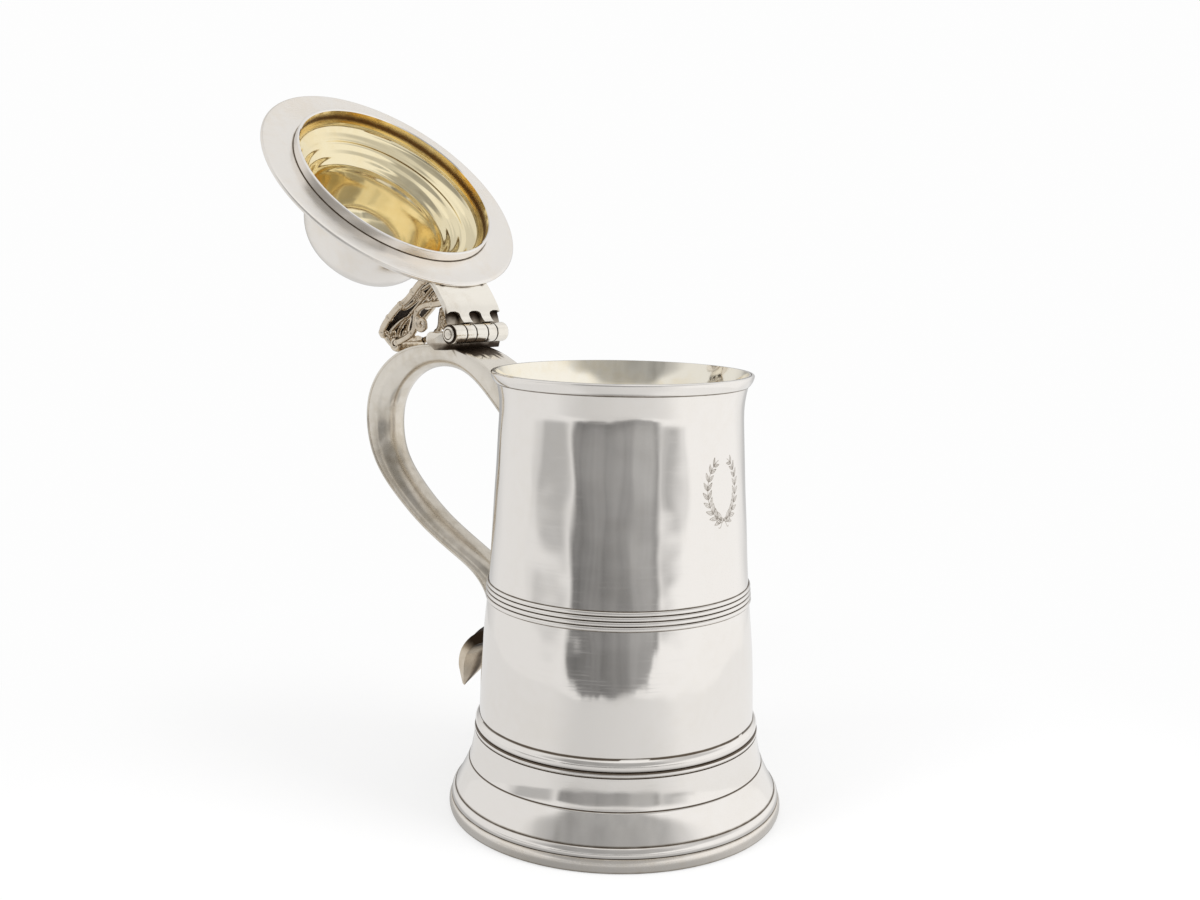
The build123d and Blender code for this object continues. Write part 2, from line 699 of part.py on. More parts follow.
@cache
def thumb_roll():
    """Rolled scroll at the thumbpiece's tip, the part that meets the handle when the lid is open."""
    centre_out, centre_up = thumb_roll_centre()
    roll = Pos(-centre_out, 0, centre_up) * Rot(90, 0, 0) * Cylinder(THUMB_ROLL_RADIUS, 2 * THUMB_ROLL_HALF_WIDTH)
    roll = fillet(roll.edges(), THUMB_ROLL_RADIUS * 0.45)
    return main_solid(roll - thumb_leaf())


def thumb_roll_centre():
    """Centre of the roll in the shut lid's side view."""
    return THUMB_FOOT_OUT + 3.5, FLANGE_PLANE + THUMB_HEIGHT + 1.4


def thumb_scroll(side):
    """Scroll that braces the leaf from behind, on one side."""
    out = THUMB_FOOT_OUT
    up = FLANGE_PLANE
    roll_out, roll_up = thumb_roll_centre()
    points = [
        (out + 14.0, up + 2.0),
        (out + 12.6, up + 0.214 * THUMB_HEIGHT),
        (out + 7.2, up + 0.381 * THUMB_HEIGHT),
        (out + 4.4, up + 0.571 * THUMB_HEIGHT),
        (out + 7.8, up + 0.70 * THUMB_HEIGHT),
        (roll_out + 3.0, roll_up - 6.0),
        (roll_out + 0.4, roll_up - 1.0),
    ]
    widths = [2.3, 1.9, 1.6, 1.5, 1.6, 1.6, 1.8]
    strand = slab(ribbon(points, widths), THUMB_SCROLL_THICKNESS / 2, side * THUMB_SCROLL_OFFSET)
    curl = Pos(-(out + 10.0), side * THUMB_SCROLL_OFFSET, up + 0.595 * THUMB_HEIGHT) * Rot(90, 0, 0)
    strand += curl * Cylinder(2.6, THUMB_SCROLL_THICKNESS)
    strand -= lid_mass_solid()
    strand -= hinge_plate()
    strand -= thumb_leaf()
    return main_solid(strand - thumb_roll())


def opened(shape):
    """Turn a piece of the shut lid to where it rests open."""
    return shape.rotate(HINGE_AXIS, -OPEN_ANGLE)


def pieces():
    """Every piece by name, where it lies with the lid open."""
    fixed = {
        "barrel": barrel(),
        "base_plate": base_plate(),
        "rim_moulding": rim_moulding(),
        "girdle_band": girdle_band(),
        "skirt_moulding": skirt_moulding(),
        "foot_skirt": foot_skirt(),
        "foot_moulding": foot_moulding(),
        "foot_ring": foot_ring(),
        "handle_strap": handle_strap(),
        "handle_shell": handle_shell(),
        "handle_tail": handle_tail(),
        "hinge_seat": hinge_seat(),
        "handle_knuckle_near": handle_knuckle(-SIDE_KNUCKLE_CENTRE),
        "handle_knuckle_middle": handle_knuckle(0),
        "handle_knuckle_far": handle_knuckle(SIDE_KNUCKLE_CENTRE),
        "hinge_pin": hinge_pin(),
        "pin_cap_near": pin_cap(-1),
        "pin_cap_far": pin_cap(1),
    }
    moving = {
        "lid_cover": lid_cover(),
        "lid_edge_wire": lid_edge_wire(),
        "bezel_ring": bezel_ring(),
        "hinge_plate": hinge_plate(),
        "lid_knuckle_near": lid_knuckle(-LID_KNUCKLE_CENTRE),
        "lid_knuckle_far": lid_knuckle(LID_KNUCKLE_CENTRE),
        "thumb_leaf": thumb_leaf(),
        "thumb_roll": thumb_roll(),
        "thumb_scroll_near": thumb_scroll(-1),
        "thumb_scroll_far": thumb_scroll(1),
    }
    return fixed | {name: opened(shape) for name, shape in moving.items()}


os.makedirs("parts", exist_ok=True)
for node, shape in pieces().items():
    export_step(shape, f"parts/{node}.step")
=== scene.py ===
"""Dress the lidded tankard: turned silver, cast handle and thumbpiece, gilding, studio and camera.

Sizes are in millimetres, in the part's own frame: +Z up, the handle along -X and the hinge pin
along Y. A point of the side view is (out, up), with out measured from the barrel's axis towards
the handle. The lid's pieces are modelled shut and then turned open about the hinge pin.
"""

from __future__ import annotations

import json
import logging
import math
from dataclasses import dataclass, field
from enum import Enum
from typing import Any, Callable, Iterable, Sequence

import bmesh
import bpy
import numpy as np
from bpy.types import ID, Material, Mesh, Node, NodeSocket, NodeTree, Object, World
from mathutils import Matrix, Vector
from mathutils.bvhtree import BVHTree

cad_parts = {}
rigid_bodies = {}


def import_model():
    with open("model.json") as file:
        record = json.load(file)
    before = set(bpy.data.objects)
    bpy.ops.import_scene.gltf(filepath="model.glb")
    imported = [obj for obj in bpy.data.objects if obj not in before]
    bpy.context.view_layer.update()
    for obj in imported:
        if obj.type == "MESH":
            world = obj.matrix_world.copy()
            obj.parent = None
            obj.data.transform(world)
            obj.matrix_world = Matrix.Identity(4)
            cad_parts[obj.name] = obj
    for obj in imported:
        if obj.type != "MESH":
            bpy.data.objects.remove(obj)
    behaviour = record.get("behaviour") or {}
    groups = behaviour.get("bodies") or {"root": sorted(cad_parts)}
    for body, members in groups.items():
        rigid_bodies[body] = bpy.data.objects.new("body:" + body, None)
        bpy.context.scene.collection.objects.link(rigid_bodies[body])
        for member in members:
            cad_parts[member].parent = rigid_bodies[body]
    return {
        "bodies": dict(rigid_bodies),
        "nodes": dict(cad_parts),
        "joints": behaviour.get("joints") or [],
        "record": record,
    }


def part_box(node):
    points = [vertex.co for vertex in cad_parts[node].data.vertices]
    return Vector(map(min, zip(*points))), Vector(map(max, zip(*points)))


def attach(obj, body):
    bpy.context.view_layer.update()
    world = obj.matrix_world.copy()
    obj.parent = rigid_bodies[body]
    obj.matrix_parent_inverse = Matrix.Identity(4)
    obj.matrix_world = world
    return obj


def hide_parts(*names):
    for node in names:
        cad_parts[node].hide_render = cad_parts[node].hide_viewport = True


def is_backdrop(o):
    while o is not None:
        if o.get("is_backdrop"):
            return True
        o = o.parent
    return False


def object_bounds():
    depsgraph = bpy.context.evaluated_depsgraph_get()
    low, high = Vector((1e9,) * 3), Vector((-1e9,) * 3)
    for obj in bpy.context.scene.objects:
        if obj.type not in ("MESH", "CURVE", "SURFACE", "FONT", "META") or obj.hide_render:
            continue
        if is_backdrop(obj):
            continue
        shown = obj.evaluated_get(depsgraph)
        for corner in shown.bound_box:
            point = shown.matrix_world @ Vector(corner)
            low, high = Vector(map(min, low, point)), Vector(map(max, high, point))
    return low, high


LOG = logging.getLogger("tankard")
MM = 0.001
# Vertex attribute that marks tarnish and painted shade: hollows, grooves, seams and undersides are darkened
# by it.
SHADE_AND_TARNISH = "shade_and_tarnish"
TURNED_COLUMNS = 288
LID_COLUMNS = 240

Point = tuple[float, float]
Colour = tuple[float, float, float]
Band = tuple[float, float, float]
Strand = tuple[np.ndarray, np.ndarray]


class Finish(Enum):
    """The finishes that a face of the tankard can have."""

    POLISHED = "polished"
    SATIN = "satin"
    WORN = "worn"
    CAST = "cast"
    AGED = "aged"
    GILT = "gilt"
    WASHED = "washed"


def operator(operation: str, number_first: bool = False) -> Callable[[Link, Any], Link]:
    """Make an operator of Link.

    Args:
        operation: the Math node's operation.
        number_first: whether the other value stands before the link.

    Returns:
        A method that adds the Math node and gives its result.
    """

    def method(link: Link, other: Link | float) -> Link:
        """Result of the operation."""
        values = (other, link) if number_first else (link, other)
        return link.graph.math(operation, *values)

    return method


class Link:
    """One output socket, with operators that add Math nodes."""

    def __init__(self, graph: Graph, socket: NodeSocket) -> None:
        """Wrap a socket.

        Args:
            graph: the tree that the socket belongs to.
            socket: the output socket.
        """
        self.graph = graph
        self.socket = socket

    __add__ = operator("ADD")
    __radd__ = operator("ADD", number_first=True)
    __sub__ = operator("SUBTRACT")
    __rsub__ = operator("SUBTRACT", number_first=True)
    __mul__ = operator("MULTIPLY")
    __rmul__ = operator("MULTIPLY", number_first=True)
    __truediv__ = operator("DIVIDE")


class Graph:
    """A node tree that is written as expressions."""

    def __init__(self, tree: NodeTree) -> None:
        """Wrap a node tree.

        Args:
            tree: the shader, world or geometry tree to add nodes to.
        """
        self.tree = tree

    def feed(self, socket: NodeSocket, value: Any) -> None:
        """Set an input socket to a number, colour or datablock, or link it to an output."""
        if isinstance(value, Node):
            value = self.link(value)
        if isinstance(value, Link):
            self.tree.links.new(value.socket, socket)
        else:
            socket.default_value = value

    def node(self, kind: str, sockets: dict | None = None, **settings: Any) -> Node:
        """Add a node.

        Args:
            kind: the node's type name.
            sockets: values or links of its inputs, by name or number.
            settings: its properties, which are set first.

        Returns:
            The new node.
        """
        made = self.tree.nodes.new(kind)
        for name, value in settings.items():
            setattr(made, name, value)
        for key, value in (sockets or {}).items():
            self.feed(made.inputs[key], value)
        return made

    def link(self, made: Node, output: int | str = 0) -> Link:
        """Wrap one output of a node."""
        return Link(self, made.outputs[output])

    def math(self, operation: str, *values: Link | float, clamp: bool = False) -> Link:
        """Add a Math node and return its result."""
        made = self.node("ShaderNodeMath", dict(enumerate(values)), operation=operation, use_clamp=clamp)
        return self.link(made)

    def ramp(self, value: Link, low: float, high: float, start: float = 0.0, end: float = 1.0) -> Link:
        """Rise smoothly from start at low to end at high, and stay there."""
        sockets = {"Value": value, "From Min": low, "From Max": high, "To Min": start, "To Max": end}
        made = self.node("ShaderNodeMapRange", sockets, interpolation_type="SMOOTHSTEP")
        return self.link(made, "Result")

    def window(self, value: Link, low: float, high: float, soft: float) -> Link:
        """One between low and high and nought outside, with edges soft wide."""
        rise = self.ramp(value, low - soft / 2, low + soft / 2)
        fall = self.ramp(value, high - soft / 2, high + soft / 2)
        return rise * (1 - fall)

    def blend(self, share: Link | float, first: Any, second: Any) -> Link:
        """Mix two colours."""
        made = self.node("ShaderNodeMix", {0: share, 6: first, 7: second}, data_type="RGBA")
        return self.link(made, 2)

    def noise(self, place: Link | Node, scale: float, detail: float = 2.0) -> Link:
        """Cloudy noise between nought and one."""
        sockets = {"Vector": place, "Scale": scale, "Detail": detail}
        return self.link(self.node("ShaderNodeTexNoise", sockets), 0)


def blank_graph(owner: Material | World) -> Graph:
    """Empty the node tree of a material or world, ready for new nodes."""
    owner.use_nodes = True
    owner.node_tree.nodes.clear()
    return Graph(owner.node_tree)


def rgba(colour: Colour) -> tuple[float, float, float, float]:
    """Add an opaque alpha to a colour."""
    return (*colour, 1.0)


@dataclass(frozen=True)
class Metal:
    """A metal finish: its slot in the record, its colours, gloss, unevenness and wear."""

    CLOUDS_PER_METRE = 34.0
    SCRATCHES_PER_METRE = 70.0
    SCRATCH_STRETCH = 22.0
    SPOTS_PER_METRE = 260.0
    GRAINS_PER_METRE = 1400.0

    name: str
    slot: str
    bright: Colour
    clouded: Colour
    # colour of tarnish and of painted shade in hollows, seams and undersides
    shade_and_tarnish_colour: Colour
    gloss: float
    film: float
    hammer_depth: float
    hammer_size: float
    scratch_depth: float
    shade_and_tarnish_roughness: float = 0.30

    def material(self) -> Material:
        """Build the node material.

        Returns:
            A material whose colour and gloss follow the piece's own coordinates and its mask of tarnish and
            painted shade.
        """
        made = bpy.data.materials.new(self.name)
        graph = blank_graph(made)
        place = graph.link(graph.node("ShaderNodeTexCoord"), "Object")
        scale = (1.0, 1.0, self.SCRATCH_STRETCH)
        stretch = graph.node("ShaderNodeMapping", {"Vector": place, "Scale": scale})
        lines = graph.noise(stretch, self.SCRATCHES_PER_METRE, 3.0)
        cloud = graph.noise(place, self.CLOUDS_PER_METRE, 3.0)
        mottle = graph.noise(place, self.SPOTS_PER_METRE, 3.0)
        grain = graph.noise(place, self.GRAINS_PER_METRE, 1.0)
        hammer = graph.noise(place, 1.0 / (self.hammer_size * MM), 1.0)
        # mask of tarnish and painted shade, stored on each piece's vertices
        shade_and_tarnish = graph.link(graph.node("ShaderNodeAttribute", attribute_name=SHADE_AND_TARNISH), "Fac")

        dark = graph.ramp(shade_and_tarnish * (0.72 + 0.56 * mottle), 0.12, 0.80)
        film = self.film * graph.ramp(0.65 * cloud + 0.35 * mottle, 0.42, 0.68)
        film = graph.math("ADD", film, 0.5 * graph.ramp(shade_and_tarnish, 0.02, 0.5), clamp=True)
        colour = graph.blend(film, rgba(self.bright), rgba(self.clouded))
        colour = graph.blend(dark, colour, rgba(self.shade_and_tarnish_colour))

        rough = self.gloss + 0.05 * graph.ramp(cloud, 0.4, 0.7) + 0.05 * graph.ramp(lines, 0.5, 0.75)
        rough = rough + self.shade_and_tarnish_roughness * dark
        relief = self.hammer_depth * MM * hammer + self.scratch_depth * MM * (lines + 0.4 * grain)
        bump = graph.node("ShaderNodeBump", {"Strength": 1.0, "Distance": 1.0, "Height": relief})
        sockets = {"Base Color": colour, "Metallic": 1.0, "Roughness": rough, "Normal": bump}
        shader = graph.node("ShaderNodeBsdfPrincipled", sockets)
        graph.node("ShaderNodeOutputMaterial", {"Surface": shader})
        return made


METALS: dict[Finish, Metal] = {
    Finish.POLISHED: Metal(
        name="polished_silver",
        slot="polished_silver",
        bright=(0.940, 0.905, 0.865),
        clouded=(0.850, 0.790, 0.700),
        shade_and_tarnish_colour=(0.150, 0.118, 0.090),
        gloss=0.060, film=0.18, hammer_depth=0.16, hammer_size=15.0, scratch_depth=0.0012,
    ),
    Finish.SATIN: Metal(
        name="rubbed_silver",
        slot="polished_silver",
        bright=(0.935, 0.895, 0.845),
        clouded=(0.880, 0.770, 0.620),
        shade_and_tarnish_colour=(0.130, 0.096, 0.066),
        gloss=0.20, film=0.34, hammer_depth=0.10, hammer_size=13.0, scratch_depth=0.0025,
    ),
    Finish.WORN: Metal(
        name="handled_silver",
        slot="cast_silver",
        bright=(0.830, 0.780, 0.700),
        clouded=(0.610, 0.535, 0.420),
        shade_and_tarnish_colour=(0.085, 0.060, 0.042),
        gloss=0.16, film=0.50, hammer_depth=0.07, hammer_size=9.0, scratch_depth=0.0035,
    ),
    Finish.CAST: Metal(
        name="cast_silver",
        slot="cast_silver",
        bright=(0.930, 0.885, 0.800),
        clouded=(0.560, 0.440, 0.310),
        shade_and_tarnish_colour=(0.040, 0.027, 0.018),
        gloss=0.18, film=0.36, hammer_depth=0.06, hammer_size=4.0, scratch_depth=0.0045,
    ),
    Finish.AGED: Metal(
        name="aged_silver",
        slot="cast_silver",
        bright=(0.800, 0.710, 0.580),
        clouded=(0.440, 0.325, 0.210),
        shade_and_tarnish_colour=(0.036, 0.023, 0.014),
        gloss=0.20, film=0.42, hammer_depth=0.06, hammer_size=4.0, scratch_depth=0.0045,
    ),
    Finish.GILT: Metal(
        name="gilt_lining",
        slot="gilt_lined_silver",
        bright=(0.960, 0.850, 0.580),
        clouded=(0.880, 0.700, 0.360),
        shade_and_tarnish_colour=(0.170, 0.095, 0.040),
        gloss=0.085, film=0.38, hammer_depth=0.12, hammer_size=11.0, scratch_depth=0.0020,
    ),
    Finish.WASHED: Metal(
        name="faded_gilding",
        slot="gilt_lined_silver",
        bright=(0.985, 0.935, 0.820),
        clouded=(0.930, 0.810, 0.570),
        shade_and_tarnish_colour=(0.170, 0.110, 0.060),
        gloss=0.075, film=0.45, hammer_depth=0.16, hammer_size=14.0, scratch_depth=0.0015,
    ),
}

CLEAN_SEAMS = (frozenset(("flat_strap", "rounded_shell")), frozenset(("domed_lid", "flange_wire")))


class Curve:
    """A smooth cubic through points, measured by chord length."""

    def __init__(self, points: Sequence[Sequence[float]]) -> None:
        """Fit the cubic.

        Args:
            points: at least three points of the same dimension.
        """
        self.points = np.array(points, float)
        steps = np.linalg.norm(np.diff(self.points, axis=0), axis=1)
        self.knots = np.concatenate([[0.0], np.cumsum(steps)])
        count = len(self.points)
        matrix = np.eye(count)
        right = np.zeros_like(self.points)
        for row in range(1, count - 1):
            before, after = steps[row - 1], steps[row]
            matrix[row, row - 1 : row + 2] = before, 2 * (before + after), after
            rise = (self.points[row + 1] - self.points[row]) / after
            right[row] = 6 * (rise - (self.points[row] - self.points[row - 1]) / before)
        self.bends = np.linalg.solve(matrix, right)

    def at(self, shares: np.ndarray | float) -> np.ndarray:
        """Points at shares of the whole length, one row each."""
        along = np.atleast_1d(shares) * self.knots[-1]
        span = np.clip(np.searchsorted(self.knots, along, side="right") - 1, 0, len(self.knots) - 2)
        start, end = self.knots[span], self.knots[span + 1]
        width = (end - start)[:, None]
        right = ((along - start) / (end - start))[:, None]
        left = 1 - right
        curve = left * self.points[span] + right * self.points[span + 1]
        bend = (left**3 - left) * self.bends[span] + (right**3 - right) * self.bends[span + 1]
        return curve + bend * width**2 / 6

    def along(self, shares: np.ndarray | float) -> np.ndarray:
        """Unit directions at shares of the whole length, one row each."""
        step = 1e-4
        ahead = self.at(np.clip(np.atleast_1d(shares) + step, 0, 1))
        behind = self.at(np.clip(np.atleast_1d(shares) - step, 0, 1))
        moved = ahead - behind
        return moved / np.linalg.norm(moved, axis=1)[:, None]

    def normals(self, shares: np.ndarray | float) -> np.ndarray:
        """Unit directions a quarter turn from those of a flat curve, one row each."""
        along = self.along(shares)
        return np.stack([-along[:, 1], along[:, 0]], axis=1)


def arc(start: Point, middle: Point, end: Point, count: int) -> list[Point]:
    """Points of the circle through three points, ends included."""
    (ax, ay), (bx, by), (cx, cy) = start, middle, end
    turn = 2 * (ax * (by - cy) + bx * (cy - ay) + cx * (ay - by))
    a2, b2, c2 = ax * ax + ay * ay, bx * bx + by * by, cx * cx + cy * cy
    ox = (a2 * (by - cy) + b2 * (cy - ay) + c2 * (ay - by)) / turn
    oy = (a2 * (cx - bx) + b2 * (ax - cx) + c2 * (bx - ax)) / turn
    radius = math.hypot(ax - ox, ay - oy)
    first = math.atan2(ay - oy, ax - ox)
    last = math.atan2(cy - oy, cx - ox)
    if turn > 0 and last < first:
        last += 2 * math.pi
    if turn < 0 and last > first:
        last -= 2 * math.pi
    angles = np.linspace(first, last, count)
    return [(ox + radius * math.cos(a), oy + radius * math.sin(a)) for a in angles]


def spread(low: float, high: float, step: float, fine: Iterable[Band] = ()) -> np.ndarray:
    """Rising values from low to high, closer together in the fine stretches.

    Args:
        low: first value.
        high: last value.
        step: usual distance between values.
        fine: stretches as (middle, half width, step).

    Returns:
        The values, both ends included.
    """
    values = list(np.linspace(low, high, max(2, round((high - low) / step) + 1)))
    for middle, half, close in fine:
        values = [v for v in values if abs(v - middle) >= half or v in (low, high)]
        values += list(np.arange(max(low, middle - half), min(high, middle + half), close))
    merged = [low]
    for value in sorted(values):
        if value - merged[-1] > 1e-3:
            merged.append(value)
    return np.array(merged)


@dataclass
class Outline:
    """A closed run of (radius, height) points, each with a finish and a share of tarnish and painted shade.
    """

    points: list[Point] = field(default_factory=list)
    finishes: list[Finish] = field(default_factory=list)
    shade_and_tarnish: list[float] = field(default_factory=list)

    def run(
        self,
        points: Iterable[Point],
        finish: Finish = Finish.POLISHED,
        shade_and_tarnish: Callable[[float, float], float] | float = 0.0,
    ) -> Outline:
        """Add points, in order.

        Args:
            points: (radius, height) of each.
            finish: finish of the face that starts at each.
            shade_and_tarnish: tarnish and painted shade there, or a function of radius and height that gives
                it.

        Returns:
            The outline itself.
        """
        for radius, height in points:
            self.points.append((float(radius), float(height)))
            self.finishes.append(finish)
            self.shade_and_tarnish.append(shade_and_tarnish(radius, height) if callable(shade_and_tarnish) else shade_and_tarnish)
        return self


@dataclass
class Shell:
    """Vertices with faces, a finish for each face and tarnish and painted shade for each vertex."""

    points: np.ndarray
    faces: list[tuple[int, ...]]
    finishes: list[Finish]
    shade_and_tarnish: np.ndarray

    def moved(self, place: Callable[[np.ndarray], np.ndarray]) -> Shell:
        """Put every vertex through a function of the whole array."""
        return Shell(place(self.points), self.faces, self.finishes, self.shade_and_tarnish)


def revolve(outline: Outline, angles: np.ndarray) -> Shell:
    """Turn a closed outline round the Z axis.

    Args:
        outline: the section.
        angles: where the columns of vertices stand, in radians.

    Returns:
        A closed shell.
    """
    columns = len(angles)
    cosines, sines = np.cos(angles), np.sin(angles)
    points, shade_and_tarnish, rows = [], [], []
    for (radius, height), dark in zip(outline.points, outline.shade_and_tarnish):
        start = len(points)
        if radius < 1e-6:
            rows.append([start] * columns)
            points.append((0.0, 0.0, height))
            shade_and_tarnish.append(dark)
        else:
            rows.append(list(range(start, start + columns)))
            points.extend(zip(radius * cosines, radius * sines, [height] * columns))
            shade_and_tarnish.extend([dark] * columns)
    faces, finishes = [], []
    for row, finish in enumerate(outline.finishes):
        here, above = rows[row], rows[(row + 1) % len(rows)]
        if here[0] == here[-1] and above[0] == above[-1]:
            continue
        for column in range(columns):
            after = (column + 1) % columns
            corners = (here[column], here[after], above[after], above[column])
            faces.append(tuple(dict.fromkeys(corners)))
            finishes.append(finish)
    return Shell(np.array(points), faces, finishes, np.array(shade_and_tarnish))


def skin(rings: np.ndarray, finish: Finish) -> Shell:
    """Join closed rings of points, one after another, and close both ends.

    Args:
        rings: array of rings, points and coordinates.
        finish: finish of every face.

    Returns:
        The shell.
    """
    count, around, _ = rings.shape
    faces = []
    for row in range(count - 1):
        for column in range(around):
            after = (column + 1) % around
            low, high = row * around, (row + 1) * around
            faces.append((low + column, low + after, high + after, high + column))
    faces.append(tuple(reversed(range(around))))
    faces.append(tuple(range((count - 1) * around, count * around)))
    points = rings.reshape(-1, 3)
    return Shell(points, faces, [finish] * len(faces), np.zeros(len(points)))


def side_view(points: np.ndarray, across: float | np.ndarray) -> np.ndarray:
    """Side-view points (out, up) as places in the part's frame, at y = across."""
    out, up = points[..., 0], points[..., 1]
    return np.stack([-out, np.broadcast_to(across, out.shape), up], axis=-1)


def slab(outline: Sequence[Point], half_width: float, finish: Finish) -> Shell:
    """Side-view outline with a face at each side."""
    ring = np.array(outline)
    return skin(np.stack([side_view(ring, -half_width), side_view(ring, half_width)]), finish)


def full_turn(count: int) -> np.ndarray:
    """Evenly spaced angles of a whole turn."""
    return np.linspace(0, 2 * math.pi, count, endpoint=False)


@dataclass
class Hinge:
    """Where the hinge pin lies and how far the lid is open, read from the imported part."""

    out: float
    height: float
    open_angle: float

    @classmethod
    def from_frame(cls, frame: dict) -> Hinge:
        """Read the joint.


        Returns:
            The hinge, in millimetres and radians.
        """
        joint = frame["joints"][0]
        place = joint["pos_m"]
        return cls(-place[0] / MM, place[2] / MM, math.radians(joint["range_deg"][1]))

    def opened(self, points: np.ndarray) -> np.ndarray:
        """Turn points of the shut lid to where they are with the lid open."""
        cosine, sine = math.cos(self.open_angle), math.sin(self.open_angle)
        across = points[:, 0] + self.out
        up = points[:, 2] - self.height
        turned = points.copy()
        turned[:, 0] = -self.out + across * cosine - up * sine
        turned[:, 2] = self.height + across * sine + up * cosine
        return turned

    def on_pin(self, points: np.ndarray) -> np.ndarray:
        """Lay what was turned about Z along the hinge pin."""
        return np.stack([points[:, 0] - self.out, points[:, 2], points[:, 1] + self.height], axis=1)


def new_mesh(name: str, shell: Shell) -> Mesh:
    """Mesh of a shell, in metres and without materials."""
    mesh = bpy.data.meshes.new(name)
    mesh.from_pydata((shell.points * MM).tolist(), [], shell.faces)
    return mesh


def new_object(name: str, data: ID) -> Object:
    """Object that holds the data, in the scene."""
    made = bpy.data.objects.new(name, data)
    bpy.context.scene.collection.objects.link(made)
    return made


class Workshop:
    """Makes Blender objects of shells and hands them to the frame."""

    def __init__(self, hinge: Hinge) -> None:
        """Build the materials.

        Args:
            hinge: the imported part's hinge.
        """
        self.hinge = hinge
        self.materials = {finish: metal.material() for finish, metal in METALS.items()}
        self.made: list[tuple[Object, str]] = []

    def piece(
        self,
        name: str,
        node: str,
        shell: Shell,
        slot: Finish,
        is_lid: bool = False,
        bevel: float = 0.0,
        sharp: float = 38.0,
        hollows: bool = False,
    ) -> Object:
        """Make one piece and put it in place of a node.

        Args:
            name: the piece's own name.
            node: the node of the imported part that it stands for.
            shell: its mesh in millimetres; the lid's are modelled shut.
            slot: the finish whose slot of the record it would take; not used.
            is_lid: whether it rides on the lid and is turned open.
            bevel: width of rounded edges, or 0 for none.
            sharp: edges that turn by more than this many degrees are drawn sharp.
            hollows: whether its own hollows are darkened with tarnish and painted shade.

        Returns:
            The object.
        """
        if is_lid:
            shell = shell.moved(self.hinge.opened)
        mesh = new_mesh(name, shell)
        used = list(dict.fromkeys(shell.finishes))
        for finish in used:
            mesh.materials.append(self.materials[finish])
        mesh.polygons.foreach_set("material_index", [used.index(finish) for finish in shell.finishes])
        write_shade_and_tarnish(mesh, shell.shade_and_tarnish)
        piece = new_object(name, mesh)
        self.close(mesh)
        if bevel > 0:
            self.rounded(piece, bevel)
        self.smoothed(piece.data, sharp)
        if hollows:
            add_shade_and_tarnish_in_hollows(piece.data)
        return self.hand_over(piece, node, slot, is_lid)

    def hand_over(self, piece: Object, node: str, slot: Finish, is_lid: bool) -> Object:
        """Hide the node that the piece stands for and attach the piece to the body that it rides on."""
        body = "lid" if is_lid else "tankard_body"
        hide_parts(node)
        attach(piece, body)
        self.made.append((piece, body))
        LOG.info("%s stands for %s, %d faces", piece.name, node, len(piece.data.polygons))
        return piece

    @staticmethod
    def add_shell(piece: Object, shell: Shell) -> None:
        """Add a shell to a piece of the same finish."""
        extra = new_mesh("extra", shell)
        shade_and_tarnish = np.concatenate([read_shade_and_tarnish(piece.data), shell.shade_and_tarnish])
        work = bmesh.new()
        work.from_mesh(piece.data)
        work.from_mesh(extra)
        work.to_mesh(piece.data)
        work.free()
        write_shade_and_tarnish(piece.data, shade_and_tarnish)
        bpy.data.meshes.remove(extra)
        metal = piece.data.materials[-1]
        piece.data.materials.clear()
        piece.data.materials.append(metal)
        piece.data.polygons.foreach_set("material_index", [0] * len(piece.data.polygons))

    @staticmethod
    def close(mesh: Mesh) -> None:
        """Merge doubled vertices and point every face outwards."""
        work = bmesh.new()
        work.from_mesh(mesh)
        bmesh.ops.remove_doubles(work, verts=work.verts, dist=1e-7)
        bmesh.ops.recalc_face_normals(work, faces=work.faces)
        work.to_mesh(mesh)
        work.free()

    @staticmethod
    def rounded(piece: Object, width: float) -> None:
        """Round the sharp edges and keep the result as the piece's mesh."""
        bevel = piece.modifiers.new("rounded", "BEVEL")
        bevel.width = width * MM
        bevel.segments = 3
        bevel.limit_method = "ANGLE"
        bevel.angle_limit = math.radians(30)
        graph = bpy.context.evaluated_depsgraph_get()
        mesh = bpy.data.meshes.new_from_object(piece.evaluated_get(graph))
        piece.modifiers.clear()
        piece.data = mesh

    @staticmethod
    def smoothed(mesh: Mesh, sharp: float) -> None:
        """Shade smoothly, apart from edges that turn by more than sharp degrees."""
        mesh.polygons.foreach_set("use_smooth", [True] * len(mesh.polygons))
        mesh.set_sharp_from_angle(angle=math.radians(sharp))


def read_points(mesh: Mesh) -> np.ndarray:
    """Vertex places of a mesh, in millimetres."""
    values = np.zeros(len(mesh.vertices) * 3, np.float32)
    mesh.vertices.foreach_get("co", values)
    return values.reshape(-1, 3) / MM


def read_normals(mesh: Mesh) -> np.ndarray:
    """Vertex normals of a mesh."""
    values = np.zeros(len(mesh.vertices) * 3, np.float32)
    mesh.vertices.foreach_get("normal", values)
    return values.reshape(-1, 3)


def read_shade_and_tarnish(mesh: Mesh) -> np.ndarray:
    """Tarnish and painted shade of each vertex of a mesh."""
    values = np.zeros(len(mesh.vertices), np.float32)
    if SHADE_AND_TARNISH in mesh.attributes:
        mesh.attributes[SHADE_AND_TARNISH].data.foreach_get("value", values)
    return values


def write_shade_and_tarnish(mesh: Mesh, values: np.ndarray) -> None:
    """Store the tarnish and painted shade of each vertex."""
    layer = mesh.attributes.get(SHADE_AND_TARNISH) or mesh.attributes.new(SHADE_AND_TARNISH, "FLOAT", "POINT")
    layer.data.foreach_set("value", values.astype(np.float32))


